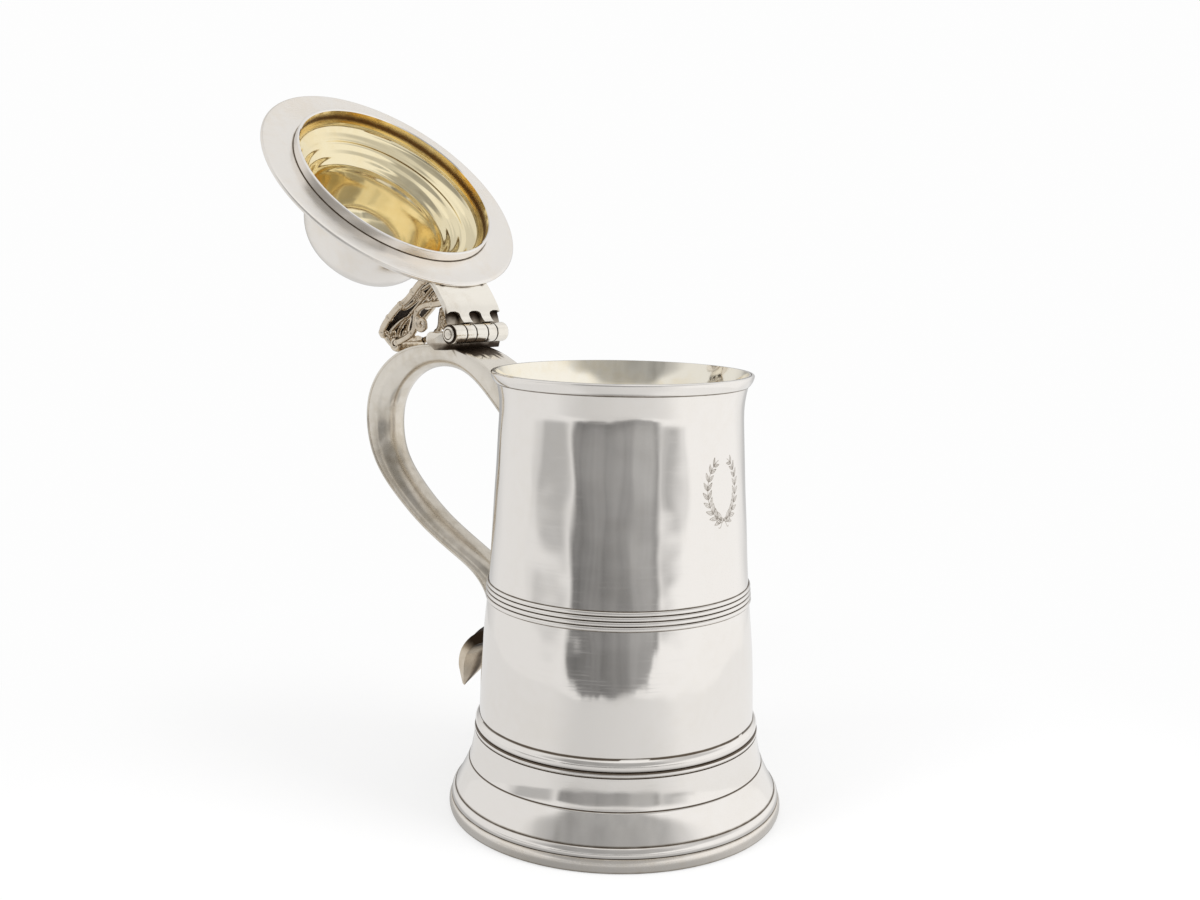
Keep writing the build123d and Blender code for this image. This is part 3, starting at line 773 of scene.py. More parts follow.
def add_shade_and_tarnish_in_hollows(mesh: Mesh, light: float = 0.05, heavy: float = 0.55, least: float = 0.0) -> None:
    """Darken the hollows of a mesh with tarnish and painted shade.

    Args:
        mesh: the mesh, whose edges are about a millimetre long or less.
        light: hollowness, in parts of a millimetre to minus one, where the darkening starts.
        heavy: hollowness where it is full.
        least: darkening on every part of it.
    """
    points, normals = read_points(mesh), read_normals(mesh)
    ends = np.zeros(len(mesh.edges) * 2, np.int32)
    mesh.edges.foreach_get("vertices", ends)
    first, second = ends.reshape(-1, 2).T
    across = points[second] - points[first]
    length = np.maximum((across**2).sum(1), 1e-4)

    def summed(at_first: np.ndarray | float, at_second: np.ndarray | float) -> np.ndarray:
        """Add up at each vertex what its edges bring to their two ends."""
        total = np.zeros(len(points))
        np.add.at(total, first, at_first)
        np.add.at(total, second, at_second)
        return total

    count = np.maximum(summed(1, 1), 1)
    sink_first = (normals[first] * across).sum(1) / length
    sink_second = -(normals[second] * across).sum(1) / length
    hollow = summed(sink_first, sink_second) / count
    hollow = 0.5 * hollow + 0.5 * summed(hollow[second], hollow[first]) / count
    # tarnish and painted shade in the hollows, by how sunk each vertex is
    dark = np.clip((hollow - light) / (heavy - light), 0, 1)
    write_shade_and_tarnish(mesh, np.maximum(np.maximum(dark, least), read_shade_and_tarnish(mesh)))


def add_seam_lines_and_shade(
    pieces: Sequence[Object],
    clean: Iterable[frozenset[str]],
    reach: float = 0.42,
    heaviest: float = 0.9,
) -> None:
    """Darken the narrow seams where pieces meet, with dark joint lines and painted shade, but not the far
    side of a thin wall.

    Args:
        pieces: the pieces of one body.
        clean: pairs of names whose seam is filled and polished.
        reach: how far the darkening goes from the other piece.
        heaviest: darkening where the two touch.
    """
    trees, lows, highs, places = [], [], [], []
    for piece in pieces:
        points = read_points(piece.data)
        faces = [tuple(polygon.vertices) for polygon in piece.data.polygons]
        trees.append(BVHTree.FromPolygons(points.tolist(), faces))
        lows.append(points.min(0) - reach)
        highs.append(points.max(0) + reach)
        places.append(points)
    for mine, piece in enumerate(pieces):
        points, normals = places[mine], read_normals(piece.data)
        dark = read_shade_and_tarnish(piece.data).copy()
        for other, tree in enumerate(trees):
            if other == mine or frozenset((piece.name, pieces[other].name)) in clean:
                continue
            near = np.all((points > lows[other]) & (points < highs[other]), axis=1)
            for index in np.nonzero(near)[0]:
                spot, _, _, gap = tree.find_nearest(points[index].tolist(), reach)
                if gap is None:
                    continue
                in_front = np.dot(np.array(spot) - points[index], normals[index])
                if in_front >= -0.7 * max(gap, 0.1):
                    # dark joint line and painted shade close to the other piece
                    dark[index] = max(dark[index], heaviest * (1.0 - gap / reach))
        write_shade_and_tarnish(piece.data, dark)


@dataclass
class SideProfile:
    """The barrel's outer side, a raised wall that tapers to the neck and flares at the lip."""

    bottom: float
    top: float
    foot_radius: float = 53.7
    swell_radius: float = 52.6
    girdle_radius: float = 50.4
    neck_radius: float = 46.6
    throat_radius: float = 46.5
    lip_radius: float = 48.7
    swell_height: float = 60.0
    girdle_height: float = 87.1
    neck_height: float = 150.0
    throat_drop: float = 11.0

    def __post_init__(self) -> None:
        """Sample the curve once."""
        curve = Curve(
            [
                (self.foot_radius, self.bottom),
                (self.swell_radius, self.swell_height),
                (self.girdle_radius, self.girdle_height),
                (self.neck_radius, self.neck_height),
                (self.throat_radius, self.top - self.throat_drop),
                (self.lip_radius, self.top),
            ]
        )
        self.samples = curve.at(np.linspace(0, 1, 400))

    def radius(self, height: np.ndarray | float) -> np.ndarray | float:
        """Outer radius at a height."""
        return np.interp(height, self.samples[:, 1], self.samples[:, 0])


@dataclass
class Wreath:
    """A plain engraved wreath of paired leaves round a blank oval, opposite the handle."""

    height: float = 131.5
    half_width: float = 8.6
    half_height: float = 11.2
    margin: float = 5.2
    leaf_pairs: int = 9
    leaf_length: float = 4.3
    leaf_width: float = 1.5
    leaf_lean: float = 0.62
    stem_points: int = 40
    line_width: float = 0.36
    line_depth: float = 0.11

    def leaf(self, foot: np.ndarray, heading: float, length: float, width: float) -> list[np.ndarray]:
        """Two edges and a rib of one leaf."""
        ahead = np.array([math.cos(heading), math.sin(heading)])
        aside = np.array([-ahead[1], ahead[0]])
        shares = np.linspace(0, 1, 7)
        bulge = width * np.sin(math.pi * shares) * (1.15 - 0.45 * shares)
        spine = foot + np.outer(shares * length, ahead)
        return [spine + np.outer(bulge, aside), spine - np.outer(bulge, aside), spine[:5]]

    def branch(self, side: int) -> list[np.ndarray]:
        """The stem of one side with its leaves, which shrink towards the tip."""
        sweep = np.linspace(-0.5 * math.pi, 0.40 * math.pi, self.stem_points)
        across, up = side * self.half_width * np.cos(sweep), self.half_height * np.sin(sweep)
        stem = np.stack([across, up], axis=1)
        lines = [stem]
        for pair in range(self.leaf_pairs):
            share = (pair + 0.6) / self.leaf_pairs
            here = int(share * (self.stem_points - 4))
            foot, along = stem[here], stem[here + 2] - stem[here]
            heading = math.atan2(along[1], along[0])
            size = 1.0 - 0.28 * share
            length, width = size * self.leaf_length, size * self.leaf_width / 2
            for lean in (-self.leaf_lean, self.leaf_lean):
                lines += self.leaf(foot, heading + lean, length, width)
        return lines

    def bow(self, side: int) -> list[np.ndarray]:
        """The loop and the loose end of the bow on one side."""
        knot = np.array([0.0, -self.half_height])
        turn = np.linspace(0, 2 * math.pi, 18)
        loop = np.stack([side * (2.1 - 2.1 * np.cos(turn)), 0.9 * np.sin(turn)], axis=1)
        fall = np.linspace(0, 1, 8)
        drop = -2.9 * fall**0.8 + 0.5 * np.sin(7 * fall)
        return [knot + loop, knot + np.stack([side * 3.1 * fall, drop], axis=1)]

    def strokes(self) -> list[np.ndarray]:
        """Every stroke as points (across, up) from the wreath's middle."""
        lines: list[np.ndarray] = []
        for side in (-1, 1):
            lines += self.branch(side) + self.bow(side)
        return lines

    def depth(self, across: np.ndarray, up: np.ndarray) -> np.ndarray:
        """How deep the strokes are at points of the unrolled wall, from 0 to 1."""
        nearest = np.full(len(across), 1e3)
        for line in self.strokes():
            for start, end in zip(line[:-1], line[1:]):
                run = end - start
                size = max(float(run @ run), 1e-9)
                share = np.clip(((across - start[0]) * run[0] + (up - start[1]) * run[1]) / size, 0, 1)
                gap = np.hypot(across - start[0] - share * run[0], up - start[1] - share * run[1])
                nearest = np.minimum(nearest, gap)
        return np.clip(1 - nearest / (self.line_width / 2 + 0.12), 0, 1)


class GrowingTree:
    """A Geometry Nodes tree with named inputs, which makes one piece each time it is run."""

    NAME = ""
    INPUTS: dict[str, str] = {}

    def __init__(self) -> None:
        """Build the tree with its named inputs."""
        self.tree = bpy.data.node_groups.new(self.NAME, "GeometryNodeTree")
        sides = self.tree.interface
        for name, kind in {"Geometry": "Geometry", **self.INPUTS, "Material": "Material"}.items():
            sides.new_socket(name, in_out="INPUT", socket_type=f"NodeSocket{kind}")
        sides.new_socket("Geometry", in_out="OUTPUT", socket_type="NodeSocketGeometry")
        graph = Graph(self.tree)
        given = graph.node("NodeGroupInput")
        real = graph.node("GeometryNodeRealizeInstances", {"Geometry": self.shape(graph, given)})
        sockets = {"Geometry": real, "Material": graph.link(given, "Material")}
        dressed = graph.node("GeometryNodeSetMaterial", sockets)
        graph.node("NodeGroupOutput", {0: dressed})

    def shape(self, graph: Graph, given: Node) -> Node:
        """Lay the nodes of the piece's shape.

        Args:
            graph: the tree.
            given: the node that holds the tree's inputs.

        Returns:
            The last node, whose shape may still hold instances.
        """
        raise NotImplementedError

    def run(self, name: str, data: ID, values: dict[str, Any]) -> Object:
        """Run the tree once and keep its mesh.

        Args:
            name: name of the new object.
            data: the geometry that goes in.
            values: the tree's inputs by name.

        Returns:
            An object with a plain mesh.
        """
        carrier = new_object(name, data)
        modifier = carrier.modifiers.new("grown", "NODES")
        modifier.node_group = self.tree
        sides = self.tree.interface.items_tree
        sockets = {item.name: item.identifier for item in sides if item.in_out == "INPUT"}
        for label, value in values.items():
            modifier[sockets[label]] = value
        graph = bpy.context.evaluated_depsgraph_get()
        mesh = bpy.data.meshes.new_from_object(carrier.evaluated_get(graph))
        bpy.data.objects.remove(carrier)
        return new_object(name, mesh)


class ReedTree(GrowingTree):
    """Geometry Nodes that stack equal round reeds about the Z axis."""

    NAME = "stacked_reeds"
    INPUTS = {
        "Low Radius": "Float",
        "High Radius": "Float",
        "Low Height": "Float",
        "Pitch": "Float",
        "Reeds": "Int",
    }

    def shape(self, graph: Graph, given: Node) -> Node:
        """Copies of one reed, darkened with tarnish and painted shade where it meets the barrel and its
        neighbours, each grown to its own radius.

        Args:
            graph: the tree.
            given: the node that holds the tree's inputs.

        Returns:
            The node that sets the reeds out as instances.
        """
        low, high = graph.link(given, "Low Radius"), graph.link(given, "High Radius")
        pitch, reeds = graph.link(given, "Pitch"), graph.link(given, "Reeds")
        circle = "GeometryNodeCurvePrimitiveCircle"
        ring = graph.node(circle, {"Resolution": TURNED_COLUMNS, "Radius": low})
        section = graph.node(circle, {"Resolution": 20, "Radius": pitch / 2})
        reed = graph.node("GeometryNodeCurveToMesh", {"Curve": ring, "Profile Curve": section})
        place = graph.node("ShaderNodeSeparateXYZ", {0: graph.node("GeometryNodeInputPosition")})
        x, y = graph.link(place, "X"), graph.link(place, "Y")
        proud = graph.math("SQRT", x * x + y * y) - low
        # tarnish and painted shade on the inner side of each reed, where the reeds meet
        dark = graph.ramp(proud / pitch, 0.16, 0.40, 1.0, 0.0)
        darkened_reed = graph.node(
            "GeometryNodeStoreNamedAttribute",
            {"Geometry": reed, "Name": SHADE_AND_TARNISH, "Value": dark},
            data_type="FLOAT",
            domain="POINT",
        )
        start = graph.node("ShaderNodeCombineXYZ", {"Z": graph.link(given, "Low Height") + pitch / 2})
        step = graph.node("ShaderNodeCombineXYZ", {"Z": pitch})
        rows = {"Count": reeds, "Start Location": start, "Offset": step}
        stack = graph.node("GeometryNodeMeshLine", rows, mode="OFFSET")
        number = graph.link(graph.node("GeometryNodeInputIndex"))
        share = number / graph.math("MAXIMUM", reeds - 1.0, 1.0)
        grow = 1.0 + share * (high / low - 1.0)
        size = graph.node("ShaderNodeCombineXYZ", {"X": grow, "Y": grow, "Z": 1.0})
        copies = {"Points": stack, "Instance": darkened_reed, "Scale": size}
        return graph.node("GeometryNodeInstanceOnPoints", copies)


@dataclass
class Barrel:
    """The barrel with its bottom, lip moulding, girdle and lower moulding."""

    side: SideProfile
    wall: float = 0.85
    row_step: float = 1.7
    inner_row_step: float = 2.6
    wreath_row_step: float = 0.27
    seam_row_step: float = 0.22
    turn_step: float = math.radians(2.0)
    wreath_turn_step: float = 0.0062
    ripple_depth: float = 0.13
    ripple_stretch: float = 0.45
    rim_height: float = 4.4
    rim_radius: float = 49.9
    girdle_half: float = 3.6
    girdle_proud: float = 0.7
    girdle_reeds: int = 4
    moulding_top: float = 37.9
    moulding_line: float = 33.25
    plate_edge: float = 33.6
    plate_rise: float = 2.6
    plate_thickness: float = 0.9
    wreath: Wreath = field(default_factory=Wreath)

    def ripple(self, angle: np.ndarray, height: np.ndarray) -> np.ndarray:
        """Unevenness left by the hammer, in millimetres."""
        waves = (
            (5, 0.021, 0.4, 0.26),
            (8, -0.034, 1.9, 0.26),
            (13, 0.052, 3.1, 0.22),
            (19, -0.047, 5.2, 0.16),
            (29, 0.061, 0.9, 0.10),
            (3, 0.090, 2.4, 0.20),
        )
        total = np.zeros_like(angle)
        for turns, rise, shift, weight in waves:
            phase = 2 * math.pi * rise * height * self.ripple_stretch
            total += weight * np.sin(turns * angle + phase + shift)
        return self.ripple_depth * total

    def wall_heights(self) -> np.ndarray:
        """Heights of the outside's rows, close together at the wreath and at the seams."""
        side, wreath = self.side, self.wreath
        seams = (
            self.moulding_top,
            side.girdle_height - self.girdle_half,
            side.girdle_height + self.girdle_half,
            side.top - self.rim_height,
        )
        fine = [(wreath.height, wreath.half_height + wreath.margin, self.wreath_row_step)]
        fine += [(seam, 1.2, self.seam_row_step) for seam in seams]
        return spread(side.bottom, side.top, self.row_step, fine)

    def wall_shell(self) -> Shell:
        """The raised wall, polished outside and gilt inside, with the engraved wreath."""
        side, wreath = self.side, self.wreath
        lip = side.radius(side.top)
        inner = spread(side.bottom, side.top, self.inner_row_step)[::-1]
        outline = Outline()
        outline.run([(side.radius(h), h) for h in self.wall_heights()[:-1]])
        outline.run([(lip - 0.12, side.top)])
        outline.run([(lip - self.wall + 0.1, side.top)], Finish.WASHED)
        outline.run([(side.radius(h) - self.wall, h) for h in inner[1:]], Finish.WASHED)
        reach = (wreath.half_width + 4.6) / side.radius(wreath.height)
        angles = spread(-math.pi, math.pi, self.turn_step, [(0.0, reach, self.wreath_turn_step)])[:-1]
        return self.hammered(revolve(outline, angles))

    def hammered(self, shell: Shell) -> Shell:
        """Give the plain wall its hammer waves and cut the wreath into its outside."""
        side, wreath, points = self.side, self.wreath, shell.points
        angle = np.arctan2(points[:, 1], points[:, 0])
        radius = np.hypot(points[:, 0], points[:, 1])
        outside = radius > side.radius(points[:, 2]) - 0.3 * self.wall
        across = angle * side.radius(wreath.height)
        up = points[:, 2] - wreath.height
        beside = abs(across) < wreath.half_width + 5
        cut = outside & beside & (abs(up) < wreath.half_height + wreath.margin)
        depth = np.zeros(len(points))
        depth[cut] = wreath.depth(across[cut], up[cut])
        grown = radius + self.ripple(angle, points[:, 2]) - wreath.line_depth * depth
        points = points * np.stack([grown / radius, grown / radius, np.ones(len(radius))], axis=1)
        return Shell(points, shell.faces, shell.finishes, np.maximum(shell.shade_and_tarnish, 0.70 * depth))

    def plate_shell(self) -> Shell:
        """The domed bottom, gilt on top."""
        edge = self.side.radius(self.plate_edge) - self.wall
        shares = np.linspace(0, 1, 24)
        rise = self.plate_rise * (1 - shares**2)
        under = [(edge * s, self.plate_edge + r) for s, r in zip(shares, rise)]
        over = [(radius, height + self.plate_thickness) for radius, height in reversed(under)]
        outline = Outline().run(under).run(over, Finish.WASHED)
        return revolve(outline, full_turn(144))

    def rim_shell(self) -> Shell:
        """The plain lip moulding, with a shadow line under it."""
        low, top, out = self.side.top - self.rim_height, self.side.top, self.rim_radius
        root = float(self.side.radius(low)) - 0.2
        swell = (out - 0.35, low + 0.55 * self.rim_height)
        face = arc((root + 0.55, low), swell, (out, top - 0.7), 14)
        crown = arc((out, top - 0.7), (out - 0.2, top - 0.2), (out - 0.75, top), 6)
        outline = Outline().run([(root, low)], shade_and_tarnish=1.0)
        outline.run(face, shade_and_tarnish=lambda radius, height: max(0.0, 0.9 - (height - low) / 0.5))
        outline.run(crown[1:]).run([(float(self.side.radius(top)) + 0.03, top)])
        return revolve(outline, full_turn(TURNED_COLUMNS))

    def moulding_shell(self) -> Shell:
        """A broad reed over a small one, where the barrel meets its foot."""
        low, line, top = self.side.bottom, self.moulding_line, self.moulding_top
        root = float(self.side.radius(low))
        swell = (root + 1.65, (low + line) / 2 + 0.2)
        small = arc((root + 1.35, low + 0.35), swell, (root + 0.95, line - 0.1), 8)
        swell = (root + 1.20, (line + top) / 2)
        broad = arc((root + 0.95, line + 0.1), swell, (root - 0.15, top - 0.5), 14)
        crown = (float(self.side.radius(top)) + 0.02, top)
        # tarnish and painted shade in the crevices at the foot and between the reeds
        outline = Outline().run([(root - 0.1, low), (root + 1.2, low)], shade_and_tarnish=0.9)
        outline.run(small, shade_and_tarnish=lambda radius, height: 0.8 * (min(height - low, line - height) < 0.5))
        outline.run([(root + 0.55, line)], shade_and_tarnish=1.0)
        outline.run(broad, shade_and_tarnish=lambda radius, height: max(0.0, 0.9 - abs(height - line) / 0.5))
        outline.run([crown], shade_and_tarnish=0.5)
        return revolve(outline, full_turn(TURNED_COLUMNS))

    def build(self, shop: Workshop, reeds: ReedTree) -> None:
        """Make every piece of the barrel."""
        shop.piece("silver_barrel", "barrel", self.wall_shell(), Finish.POLISHED)
        shop.piece("barrel_bottom", "base_plate", self.plate_shell(), Finish.WASHED)
        shop.piece("lip_band", "rim_moulding", self.rim_shell(), Finish.POLISHED)
        shop.piece("lower_reeds", "skirt_moulding", self.moulding_shell(), Finish.POLISHED)
        middle = self.side.girdle_height
        pitch = 2 * self.girdle_half / self.girdle_reeds
        sunk = pitch / 2 - self.girdle_proud
        low, high = middle - self.girdle_half, middle + self.girdle_half
        girdle = reeds.run(
            "reeded_girdle",
            bpy.data.meshes.new("reeded_girdle"),
            {
                "Low Radius": float(self.side.radius(low + pitch / 2) - sunk) * MM,
                "High Radius": float(self.side.radius(high - pitch / 2) - sunk) * MM,
                "Low Height": low * MM,
                "Pitch": pitch * MM,
                "Reeds": self.girdle_reeds,
                "Material": shop.materials[Finish.POLISHED],
            },
        )
        shop.smoothed(girdle.data, 60.0)
        shop.hand_over(girdle, "girdle_band", Finish.POLISHED, False)


@dataclass
class Foot:
    """The spread foot: skirt, quarter-round moulding and the ring that the tankard stands on."""

    top: float
    ring_radius: float
    ring_height: float = 5.4
    moulding_height: float = 3.5
    moulding_step: float = 1.0
    skirt_step: float = 1.8
    top_radius: float = 55.2
    wall: float = 0.95
    hollow: float = 0.70
    hollow_height: float = 0.484
    ring_width: float = 4.0
    ledge: float = 52.0
    line_half: float = 0.34
    line_depth: float = 0.30
    line_step: float = 0.22

    def skirt_shell(self) -> Shell:
        """Thin spread skirt with an incised line half way up and a ledge for the barrel."""
        low = self.ring_height + self.moulding_height
        low_radius = self.ring_radius - self.moulding_step - self.skirt_step
        middle_radius = low_radius - self.hollow * (low_radius - self.top_radius)
        line = low + self.hollow_height * (self.top - low)
        curve = Curve([(low_radius, low), (middle_radius, line), (self.top_radius, self.top)])
        samples = curve.at(np.linspace(0, 1, 200))
        heights = spread(low, self.top, 0.8, [(line, 1.0, 0.12), (self.top - 0.4, 0.5, 0.12)])
        radii = np.interp(heights, samples[:, 1], samples[:, 0])
        notch = np.clip(1 - abs(heights - line) / self.line_half, 0, 1)
        step = self.line_step / (1 + np.exp((heights - line) * 9))
        outline = Outline()
        for radius, height, cut, out in zip(radii, heights, notch, step):
            outline.run([(radius + out - self.line_depth * cut, height)], shade_and_tarnish=float(min(1.0, 1.3 * cut)))
        outline.run([(self.ledge, self.top), (self.ledge, self.top - self.wall)], shade_and_tarnish=0.4)
        inner = [(r - self.wall, h) for r, h in zip(radii, heights) if h < self.top - self.wall][::-1]
        outline.run(inner, Finish.WORN, 0.25)
        return revolve(outline, full_turn(TURNED_COLUMNS))

    def moulding_shell(self) -> Shell:
        """Quarter-round moulding on the ring."""
        low, top = self.ring_height, self.ring_height + self.moulding_height
        radius = self.ring_radius - self.moulding_step
        inner = radius - self.skirt_step - self.wall
        radius -= 0.1
        crown = radius - self.skirt_step
        swell = (radius - 0.25, (low + top) / 2 + 0.2)
        face = arc((radius, low + 0.1), swell, (crown + 0.45, top - 0.05), 16)
        # tarnish and painted shade where the moulding meets the ring and the skirt
        outline = Outline().run([(inner, low), (radius - 0.5, low)], shade_and_tarnish=1.0)
        outline.run(face, shade_and_tarnish=lambda r, h: max(0.0, 0.9 - min(h - low, top - h) / 0.42))
        outline.run([(crown - 0.1, top), (inner, top)], shade_and_tarnish=1.0)
        return revolve(outline, full_turn(TURNED_COLUMNS))

    def ring_shell(self) -> Shell:
        """Heavy foot ring with a worn lower edge, darkened a little all over with grime and more towards its
        edges with painted shade.
        """
        radius, height = self.ring_radius - 0.15, self.ring_height
        face = arc((radius - 0.45, 0.25), (radius, height / 3), (radius - 0.75, height - 0.25), 14)
        outline = Outline().run([(radius - self.ring_width, 0.0), (radius - 0.9, 0.0)], Finish.SATIN, 0.5)
        # painted shade: the face darkens towards its lower edge, for the shadowed floor that it mirrors, and
        # up under the moulding; the least darkening all over is grime
        outline.run(face, Finish.SATIN, lambda r, h: max(0.16, 0.7 - h / 2.0, 0.9 - (height - h) / 0.5))
        outline.run([(radius - 1.2, height), (radius - self.ring_width, height)], Finish.SATIN, 0.8)
        return revolve(outline, full_turn(TURNED_COLUMNS))

    def build(self, shop: Workshop) -> None:
        """Make every piece of the foot."""
        shop.piece("spread_foot", "foot_skirt", self.skirt_shell(), Finish.POLISHED)
        shop.piece("foot_quarter_round", "foot_moulding", self.moulding_shell(), Finish.POLISHED)
        shop.piece("standing_ring", "foot_ring", self.ring_shell(), Finish.POLISHED)


@dataclass
class Handle:
    """The hollow scroll handle: a flat strap outside, a rounded shell inside and a shield tail."""

    side: SideProfile
    hinge: Hinge
    reach: float = 138.0
    reach_height: float = 138.0
    root_drop: float = 14.0
    crest_drop: float = 4.9
    crest_dip: float = 1.4
    root_sink: float = 13.0
    landing: Point = (118.05, 170.5)
    joint_height: float = 62.0
    joint_depth: float = 10.6
    width_top: float = 20.5
    width_low: float = 14.0
    strap: float = 1.4
    lip: float = 0.5
    wall: float = 0.9
    side_share: float = 0.35
    sink: float = 0.35
    samples: int = 500
    rows: int = 150
    tail_reach: float = 85.0
    tail_drop: float = 34.0
    tail_half: float = 9.5
    tail_thickness: float = 1.7
    under_hinge_reach: float = 11.0

    @staticmethod
    def between(start: Point, end: Point, across: float, along: float) -> Point:
        """Side-view point at two shares, out and up, of the way from start to end."""
        return start[0] + across * (end[0] - start[0]), start[1] + along * (end[1] - start[1])

    def joint(self) -> Point:
        """Where the strap ends at the lower joint."""
        return float(self.side.radius(self.joint_height)) + self.joint_depth, self.joint_height

    def stations(self) -> list[tuple[Point, float]]:
        """Points of the strap's outer side with the shell's depth there."""
        root = (self.side.neck_radius, self.side.top - self.root_drop)
        hinge = (self.hinge.out, self.hinge.height - self.crest_drop)
        landing, reach, joint = self.landing, (self.reach, self.reach_height), self.joint()
        between = self.between
        return [
            ((root[0] - self.root_sink, root[1] - 0.88 * self.root_sink), 16.5),
            (between(root, hinge, -0.02, -0.03), 15.5),
            (between(root, hinge, 0.46, 0.58), 14.3),
            ((hinge[0], hinge[1] - self.crest_dip), 11.4),
            (between(hinge, landing, 0.40, 0.0), 10.2),
            (between(hinge, landing, 0.85, 0.54), 10.8),
            (between(landing, reach, 0.45, 0.19), 11.6),
            (between(landing, reach, 0.90, 0.57), 12.0),
            (reach, 11.6),
            (between(joint, reach, 0.936, 0.793), 10.2),
            (between(joint, reach, 0.758, 0.605), 8.8),
            (between(joint, reach, 0.504, 0.434), 7.9),
            (between(joint, reach, 0.253, 0.313), 7.6),
            (between(joint, reach, 0.096, 0.222), 8.5),
            (between(joint, reach, 0.021, 0.118), 11.0),
            (joint, 11.6),
        ]

    def sweep(self, section: Callable[[float, float], np.ndarray]) -> np.ndarray:
        """Rings of a section swept along the handle, with every line cut off at the barrel's wall.

        Args:
            section: gives the ring (across, outwards) for a width and a depth.

        Returns:
            The rings, in the part's frame.
        """
        stations = self.stations()
        rail = Curve([point for point, _ in stations])
        shares = np.linspace(0, 1, self.samples)
        knots = rail.knots / rail.knots[-1]
        depths = Curve(np.stack([rail.knots, [depth for _, depth in stations]], axis=1)).at(shares)[:, 1]
        widths = np.interp(shares, knots, np.linspace(self.width_top, self.width_low, len(stations)))
        rings = []
        for middle, normal, width, depth in zip(rail.at(shares), rail.normals(shares), widths, depths):
            ring = section(width, depth)
            rings.append(side_view(middle + np.outer(ring[:, 1], normal), ring[:, 0]))
        dense = np.array(rings)
        cleared = np.hypot(dense[..., 0], dense[..., 1]) > self.side.radius(dense[..., 2]) - self.sink
        lines = []
        for column in range(dense.shape[1]):
            outside = np.nonzero(cleared[:, column])[0]
            taken = np.linspace(outside[0], outside[-1], self.rows)
            line = [np.interp(taken, np.arange(self.samples), dense[:, column, axis]) for axis in range(3)]
            lines.append(np.stack(line, axis=1))
        return np.stack(lines, axis=1)

    def strap_section(self, width: float, depth: float) -> np.ndarray:
        """Flat band with a slightly crowned face and rounded edges, whatever the shell's depth."""
        half, thick = width / 2, self.strap
        shares = np.linspace(-1, 1, 15)
        face = [(-share * (half - 0.45), -0.35 * share * share) for share in shares]
        left = arc((-half + 0.45, -0.35), (-half, -0.5 * thick - 0.1), (-half + 0.4, -thick), 6)
        right = arc((half - 0.4, -thick), (half, -0.5 * thick - 0.1), (half - 0.45, -0.35), 6)
        return np.array(face + left[1:] + right[:-1])

    def shell_section(self, width: float, depth: float) -> np.ndarray:
        """Rounded trough with its open side under the strap."""
        half = width / 2 - self.lip
        shoulder = -self.strap - self.side_share * (depth - self.strap)
        outer = [(half, -self.strap)] + arc((half, shoulder), (0, -depth), (-half, shoulder), 31)
        outer.append((-half, -self.strap))
        inside = half - self.wall
        inner = [(-inside, -self.strap)]
        inner += arc((-inside, shoulder), (0, -depth + self.wall), (inside, shoulder), 15)
        inner.append((inside, -self.strap))
        return np.array(outer + inner)

    def tail_shell(self) -> Shell:
        """Shield with a bead at its head, raised wings and a valley down the middle."""
        out, up = self.joint()
        root = out - self.joint_depth
        start, tip, drop = (out, up), (self.tail_reach, up - self.tail_drop), self.tail_drop
        rail = Curve(
            [
                (root - self.sink, up - 0.191 * drop),
                (root + 0.67 * self.joint_depth, up - 0.194 * drop),
                self.between(start, tip, 0.251, 0.247),
                self.between(start, tip, 0.524, 0.456),
                self.between(start, tip, 0.730, 0.735),
                tip,
            ]
        )
        knots = rail.knots / rail.knots[-1]
        wide, waist, thick = self.tail_half, self.width_low / 2, self.tail_thickness
        halves = (waist - 0.2, waist - 0.3, waist + 0.6, wide, 0.80 * wide, 0.35)
        backs = (2.35 * thick, 2.1 * thick, 1.6 * thick, thick, 0.9 * thick, 0.35 * thick)
        shares = np.linspace(0, 1, 90)
        half_at = np.maximum(Curve(np.stack([knots * 40, halves], axis=1)).at(shares)[:, 1], 0.3)
        back_at = np.interp(shares, knots, backs)
        places = zip(shares, rail.at(shares), rail.normals(shares), half_at, back_at)
        rings, dark = [], []
        for share, middle, normal, half, back in places:
            opened = float(np.clip((share - knots[2]) / (knots[3] - knots[2]), 0, 1))
            closing = float(np.clip((1 - share) / 0.25, 0, 1))
            bead = 1.5 * math.exp(-(((share - knots[2] + 0.02) / 0.045) ** 2))
            across = np.linspace(-1, 1, 17)
            wing = 0.9 * opened * closing * (np.abs(across) ** 1.3 - 0.25) * 1.3
            face = back + bead * np.sqrt(np.clip(1 - across**2, 0, 1)) + wing - 0.5 * (1 - opened) * across**2
            under = -back + 0.5 * across[::-1] ** 2 + 0.6 * wing[::-1]
            upper = np.stack([across * half, face], axis=1)
            lower = np.stack([across[::-1] * half * 0.96, under], axis=1)
            ring = np.concatenate([upper, lower])
            rings.append(side_view(middle + np.outer(ring[:, 1], normal), ring[:, 0]))
            valley = opened * np.exp(-((np.concatenate([across, across]) / 0.42) ** 2))
            dark.append(np.maximum(0.60 * valley, 0.95 * math.exp(-(((share - knots[2]) / 0.15) ** 2))))
        tail = skin(np.array(rings), Finish.AGED)
        tail.shade_and_tarnish = np.maximum(0.12, np.concatenate(dark))
        return tail

    def tarnish_and_shade_under_hinge(self, points: np.ndarray) -> np.ndarray:
        """Old tarnish and painted shade on the strap under the hinge, with a feathered edge towards the
        barrel.
        """
        out, across = -points[:, 0], points[:, 1]
        feather = 1.7 * np.sin(1.9 * across) + 1.2 * np.sin(4.3 * across + 1.0)
        near = self.hinge.out - self.under_hinge_reach + feather + 0.06 * across**2
        beyond = np.clip((out - near) / 2.5, 0, 1)
        behind = np.clip((self.hinge.out + 3.0 - out) / 2.0, 0, 1)
        return 0.85 * beyond * behind * (points[:, 2] > self.joint_height + 40)

    def build(self, shop: Workshop) -> None:
        """Make every piece of the handle."""
        strap = skin(self.sweep(self.strap_section), Finish.WORN)
